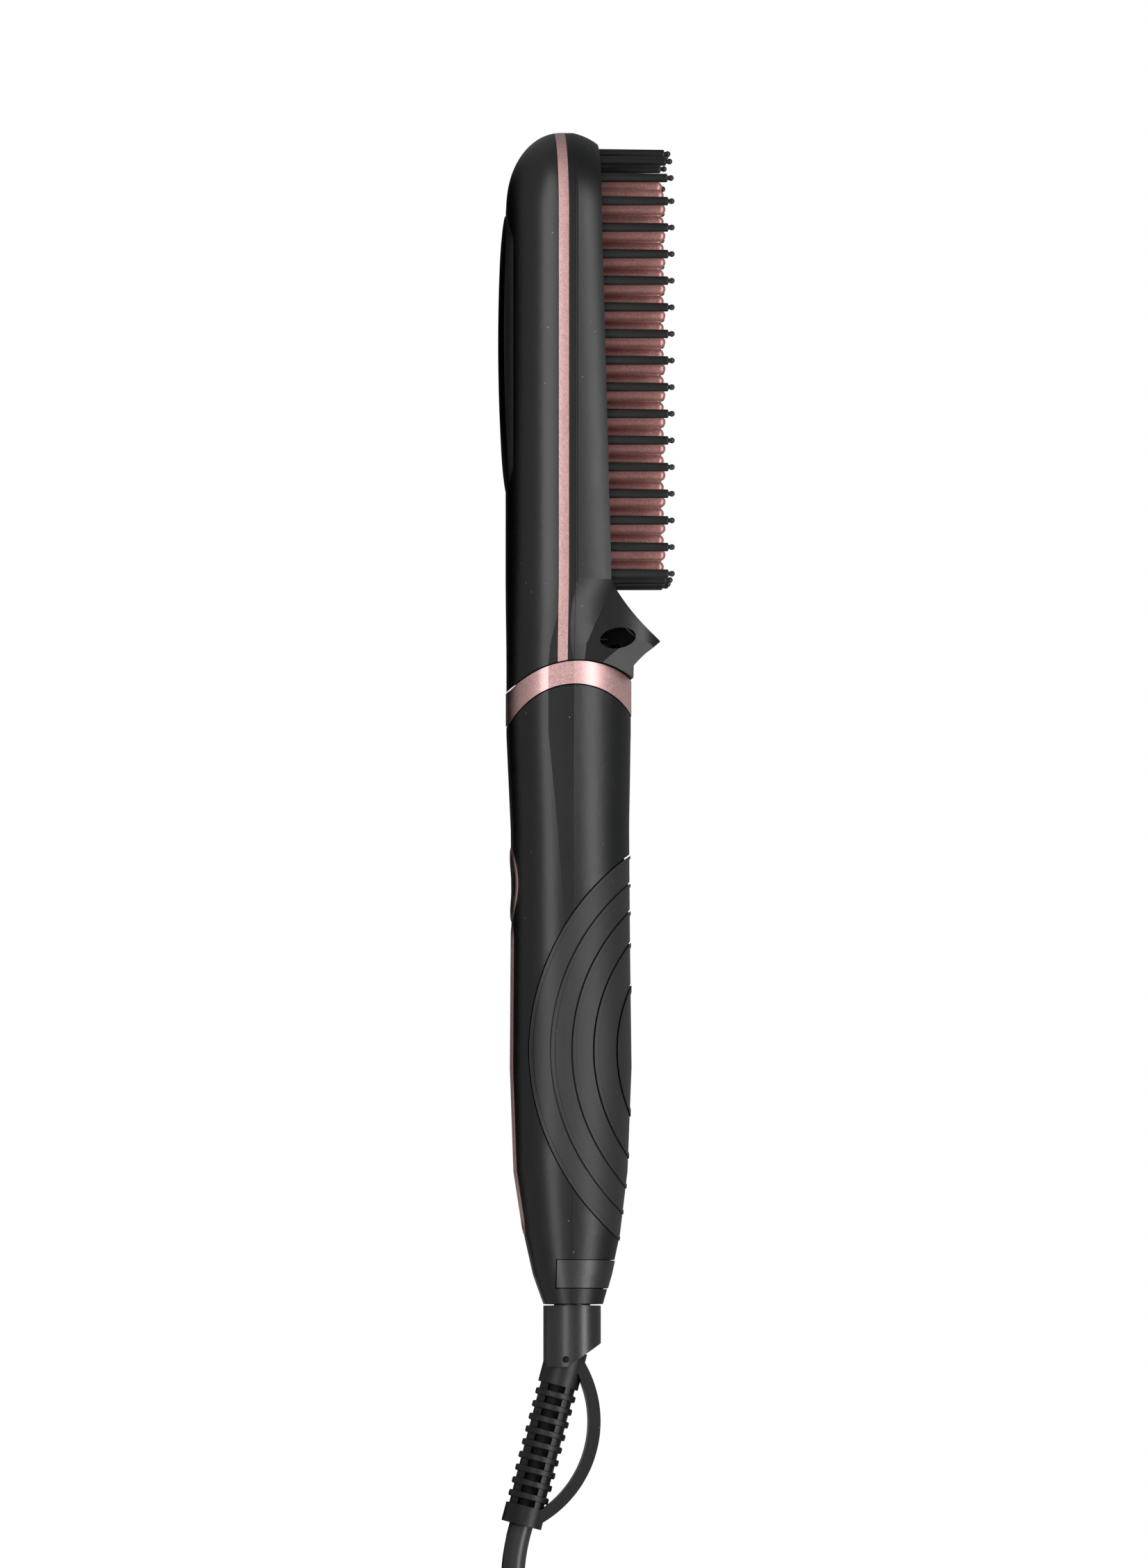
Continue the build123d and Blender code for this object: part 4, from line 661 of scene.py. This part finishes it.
class BRUSH_OT_cord(bpy.types.Operator):
    """Lays the mains cord from the guard to its plug, with the unseen length in a tied hank"""

    bl_idname = "brush.cord"
    bl_label = "Mains cord"

    def execute(self, context):
        settings = context.scene.brush_cord
        line = nurbs_curve("mains_cord", cord_route())
        bare = bpy.data.meshes.new_from_object(line)
        bpy.data.meshes.remove(bare)
        line.data.bevel_depth = settings.diameter / 2
        line.data.bevel_resolution = 5
        line.data.use_fill_caps = True
        select_only(line)
        bpy.ops.object.convert(target="MESH")
        cord = context.object
        if cord.type != "MESH" or not cord.data.polygons:
            raise RuntimeError("the cord's curve did not become a mesh")
        cord.name = "mains_cord"
        bpy.ops.object.shade_smooth_by_angle(angle=math.radians(40))
        cord.data.materials.clear()
        jacket = cord_jacket("mains_cord_jacket", context.scene.brush_finishes.cord)
        cord.data.materials.append(jacket.material)
        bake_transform(cord)
        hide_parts("cord_run", "cord_hank", "cord_tail")
        return {"FINISHED"}


class BRUSH_OT_shells(bpy.types.Operator):
    """Coats the shells of head and handle, the back panel and the button"""

    bl_idname = "brush.shells"
    bl_label = "Soft-touch shells"

    def execute(self, context):
        colour = context.scene.brush_finishes.shell
        soft_touch("shell_coating", colour, HEAD_SEAMS).apply("head_back_cover", "head_front_housing")
        soft_touch("handle_coating", colour, HANDLE_SEAMS).apply("handle_back_shell", "handle_front_shell")
        darker = tuple(0.9 * channel for channel in colour)
        soft_touch("button_coating", darker).apply("power_button", "head_back_panel")
        return {"FINISHED"}


class BRUSH_OT_rose_trim(bpy.types.Operator):
    """Lacquers the strip round the head, the collar and the two rims on the back"""

    bl_idname = "brush.rose_trim"
    bl_label = "Rose trim"

    def execute(self, context):
        rose_lacquer("rose_lacquer", context.scene.brush_finishes.rose).apply(
            "side_trim_strip", "collar_ring", "button_ring", "display_frame")
        return {"FINISHED"}


class BRUSH_OT_heater(bpy.types.Operator):
    """Coats the heater plate and finishes the stack under it"""

    bl_idname = "brush.heater"
    bl_label = "Heater"

    def execute(self, context):
        copper_coating("heater_coating", context.scene.brush_finishes.copper).apply("heater_plate")
        fired_ceramic("heater_ceramic", (0.80, 0.78, 0.74)).apply(
            "ptc_heaters", "heater_insulator", "thermistor")
        fired_ceramic("lead_sleeve", (0.70, 0.66, 0.58)).apply("heater_leads")
        worked_metal("pressed_aluminium", (0.72, 0.72, 0.73), 0.34, (1.0, 0.2, 1.0)).apply(
            "heater_clamp", "thermal_fuse")
        return {"FINISHED"}


class BRUSH_OT_bristles(bpy.types.Operator):
    """Finishes the nylon comb and its bristles"""

    bl_idname = "brush.bristles"
    bl_label = "Bristles"

    def execute(self, context):
        moulded_nylon("bristle_nylon", context.scene.brush_finishes.nylon).apply("bristle_comb")
        return {"FINISHED"}


class BRUSH_OT_grip(bpy.types.Operator):
    """Finishes the stepped grip pad and the grained band at the handle's end"""

    bl_idname = "brush.grip"
    bl_label = "Grip and end band"

    def execute(self, context):
        grip_rubber("grip_rubber", context.scene.brush_finishes.grip).apply("grip_pad")
        grained_gloss("band_gloss", (0.013, 0.013, 0.0135)).apply("end_band")
        return {"FINISHED"}


class BRUSH_OT_window(bpy.types.Operator):
    """Finishes the dark display window on the back of the handle"""

    bl_idname = "brush.window"
    bl_label = "Display window"

    def execute(self, context):
        smoked_window("smoked_window", (0.009, 0.009, 0.010)).apply("display_lens")
        return {"FINISHED"}


class BRUSH_OT_swivel(bpy.types.Operator):
    """Finishes the swivel collar, the slotted cord guard with its loop, and the lead inside it"""

    bl_idname = "brush.swivel"
    bl_label = "Swivel and guard"

    def execute(self, context):
        finishes = context.scene.brush_finishes
        plain_moulding("swivel_moulding", (0.014, 0.014, 0.0145), 0.34).apply("swivel_collar")
        flexible_rubber("guard_rubber", finishes.guard).apply("cord_guard")
        cord_jacket("lead_jacket", finishes.cord, GUARD_END_X * MM).apply("cord_lead")
        return {"FINISHED"}


class BRUSH_OT_plug(bpy.types.Operator):
    """Finishes the plug, its pins, the tie round the hank and the solids that the mains cord replaces"""

    bl_idname = "brush.plug"
    bl_label = "Plug and tie"

    def execute(self, context):
        flexible_rubber("plug_rubber", (0.017, 0.017, 0.0175)).apply("plug_body")
        worked_metal("plated_pins", (0.80, 0.79, 0.76), 0.2, (0.15, 1.0, 1.0)).apply("plug_pins")
        plain_moulding("tie_plastic", (0.012, 0.012, 0.012), 0.36).apply("hank_tie")
        cord_jacket("spare_jacket", context.scene.brush_finishes.cord).apply(
            "cord_run", "cord_hank", "cord_tail")
        return {"FINISHED"}


class BRUSH_OT_inside(bpy.types.Operator):
    """Finishes the board, the switch, the swivel's contacts and the other parts inside"""

    bl_idname = "brush.inside"
    bl_label = "Parts inside"

    def execute(self, context):
        circuit_board("solder_mask", (0.018, 0.14, 0.055)).apply("control_board")
        plain_moulding("inner_moulding", (0.03, 0.03, 0.031), 0.42).apply(
            "display_module", "tact_switch", "board_components", "ion_generator", "contact_block")
        worked_metal("zinc_steel", (0.62, 0.62, 0.63), 0.3).apply(
            "head_screws", "shell_screws", "ion_needles")
        worked_metal("turned_brass", (0.72, 0.50, 0.20), 0.24, (1.0, 0.2, 0.2)).apply(
            "slip_rings", "contact_brushes")
        return {"FINISHED"}


class BRUSH_PT_panel(bpy.types.Panel):
    """Lists the steps that dress the brush"""

    bl_idname = "BRUSH_PT_panel"
    bl_label = "Hair straightening brush"
    bl_space_type = "VIEW_3D"
    bl_region_type = "UI"
    bl_category = "Brush"

    def draw(self, context):
        for settings in (context.scene.brush_finishes, context.scene.brush_cord, context.scene.brush_stage):
            box = self.layout.box()
            for name in settings.__annotations__:
                box.prop(settings, name)
        for step in STEPS:
            self.layout.operator(step.bl_idname)


STEPS = (
    BRUSH_OT_stage,
    BRUSH_OT_cord,
    BRUSH_OT_shells,
    BRUSH_OT_rose_trim,
    BRUSH_OT_heater,
    BRUSH_OT_bristles,
    BRUSH_OT_grip,
    BRUSH_OT_window,
    BRUSH_OT_swivel,
    BRUSH_OT_plug,
    BRUSH_OT_inside,
)
CLASSES = (BrushFinishes, BrushCord, BrushStage, *STEPS, BRUSH_PT_panel)


def register():
    for kind in CLASSES:
        bpy.utils.register_class(kind)
    bpy.types.Scene.brush_finishes = PointerProperty(type=BrushFinishes)
    bpy.types.Scene.brush_cord = PointerProperty(type=BrushCord)
    bpy.types.Scene.brush_stage = PointerProperty(type=BrushStage)


def unregister():
    del bpy.types.Scene.brush_stage
    del bpy.types.Scene.brush_cord
    del bpy.types.Scene.brush_finishes
    for kind in reversed(CLASSES):
        bpy.utils.unregister_class(kind)


def main():
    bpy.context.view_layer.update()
    register()
    bpy.context.scene.view_settings.view_transform = "Standard"
    bpy.ops.brush.stage()
    bpy.ops.brush.cord()
    bpy.ops.brush.shells()
    bpy.ops.brush.rose_trim()
    bpy.ops.brush.heater()
    bpy.ops.brush.bristles()
    bpy.ops.brush.grip()
    bpy.ops.brush.window()
    bpy.ops.brush.swivel()
    bpy.ops.brush.plug()
    bpy.ops.brush.inside()


if __name__ == "__main__":
    main()
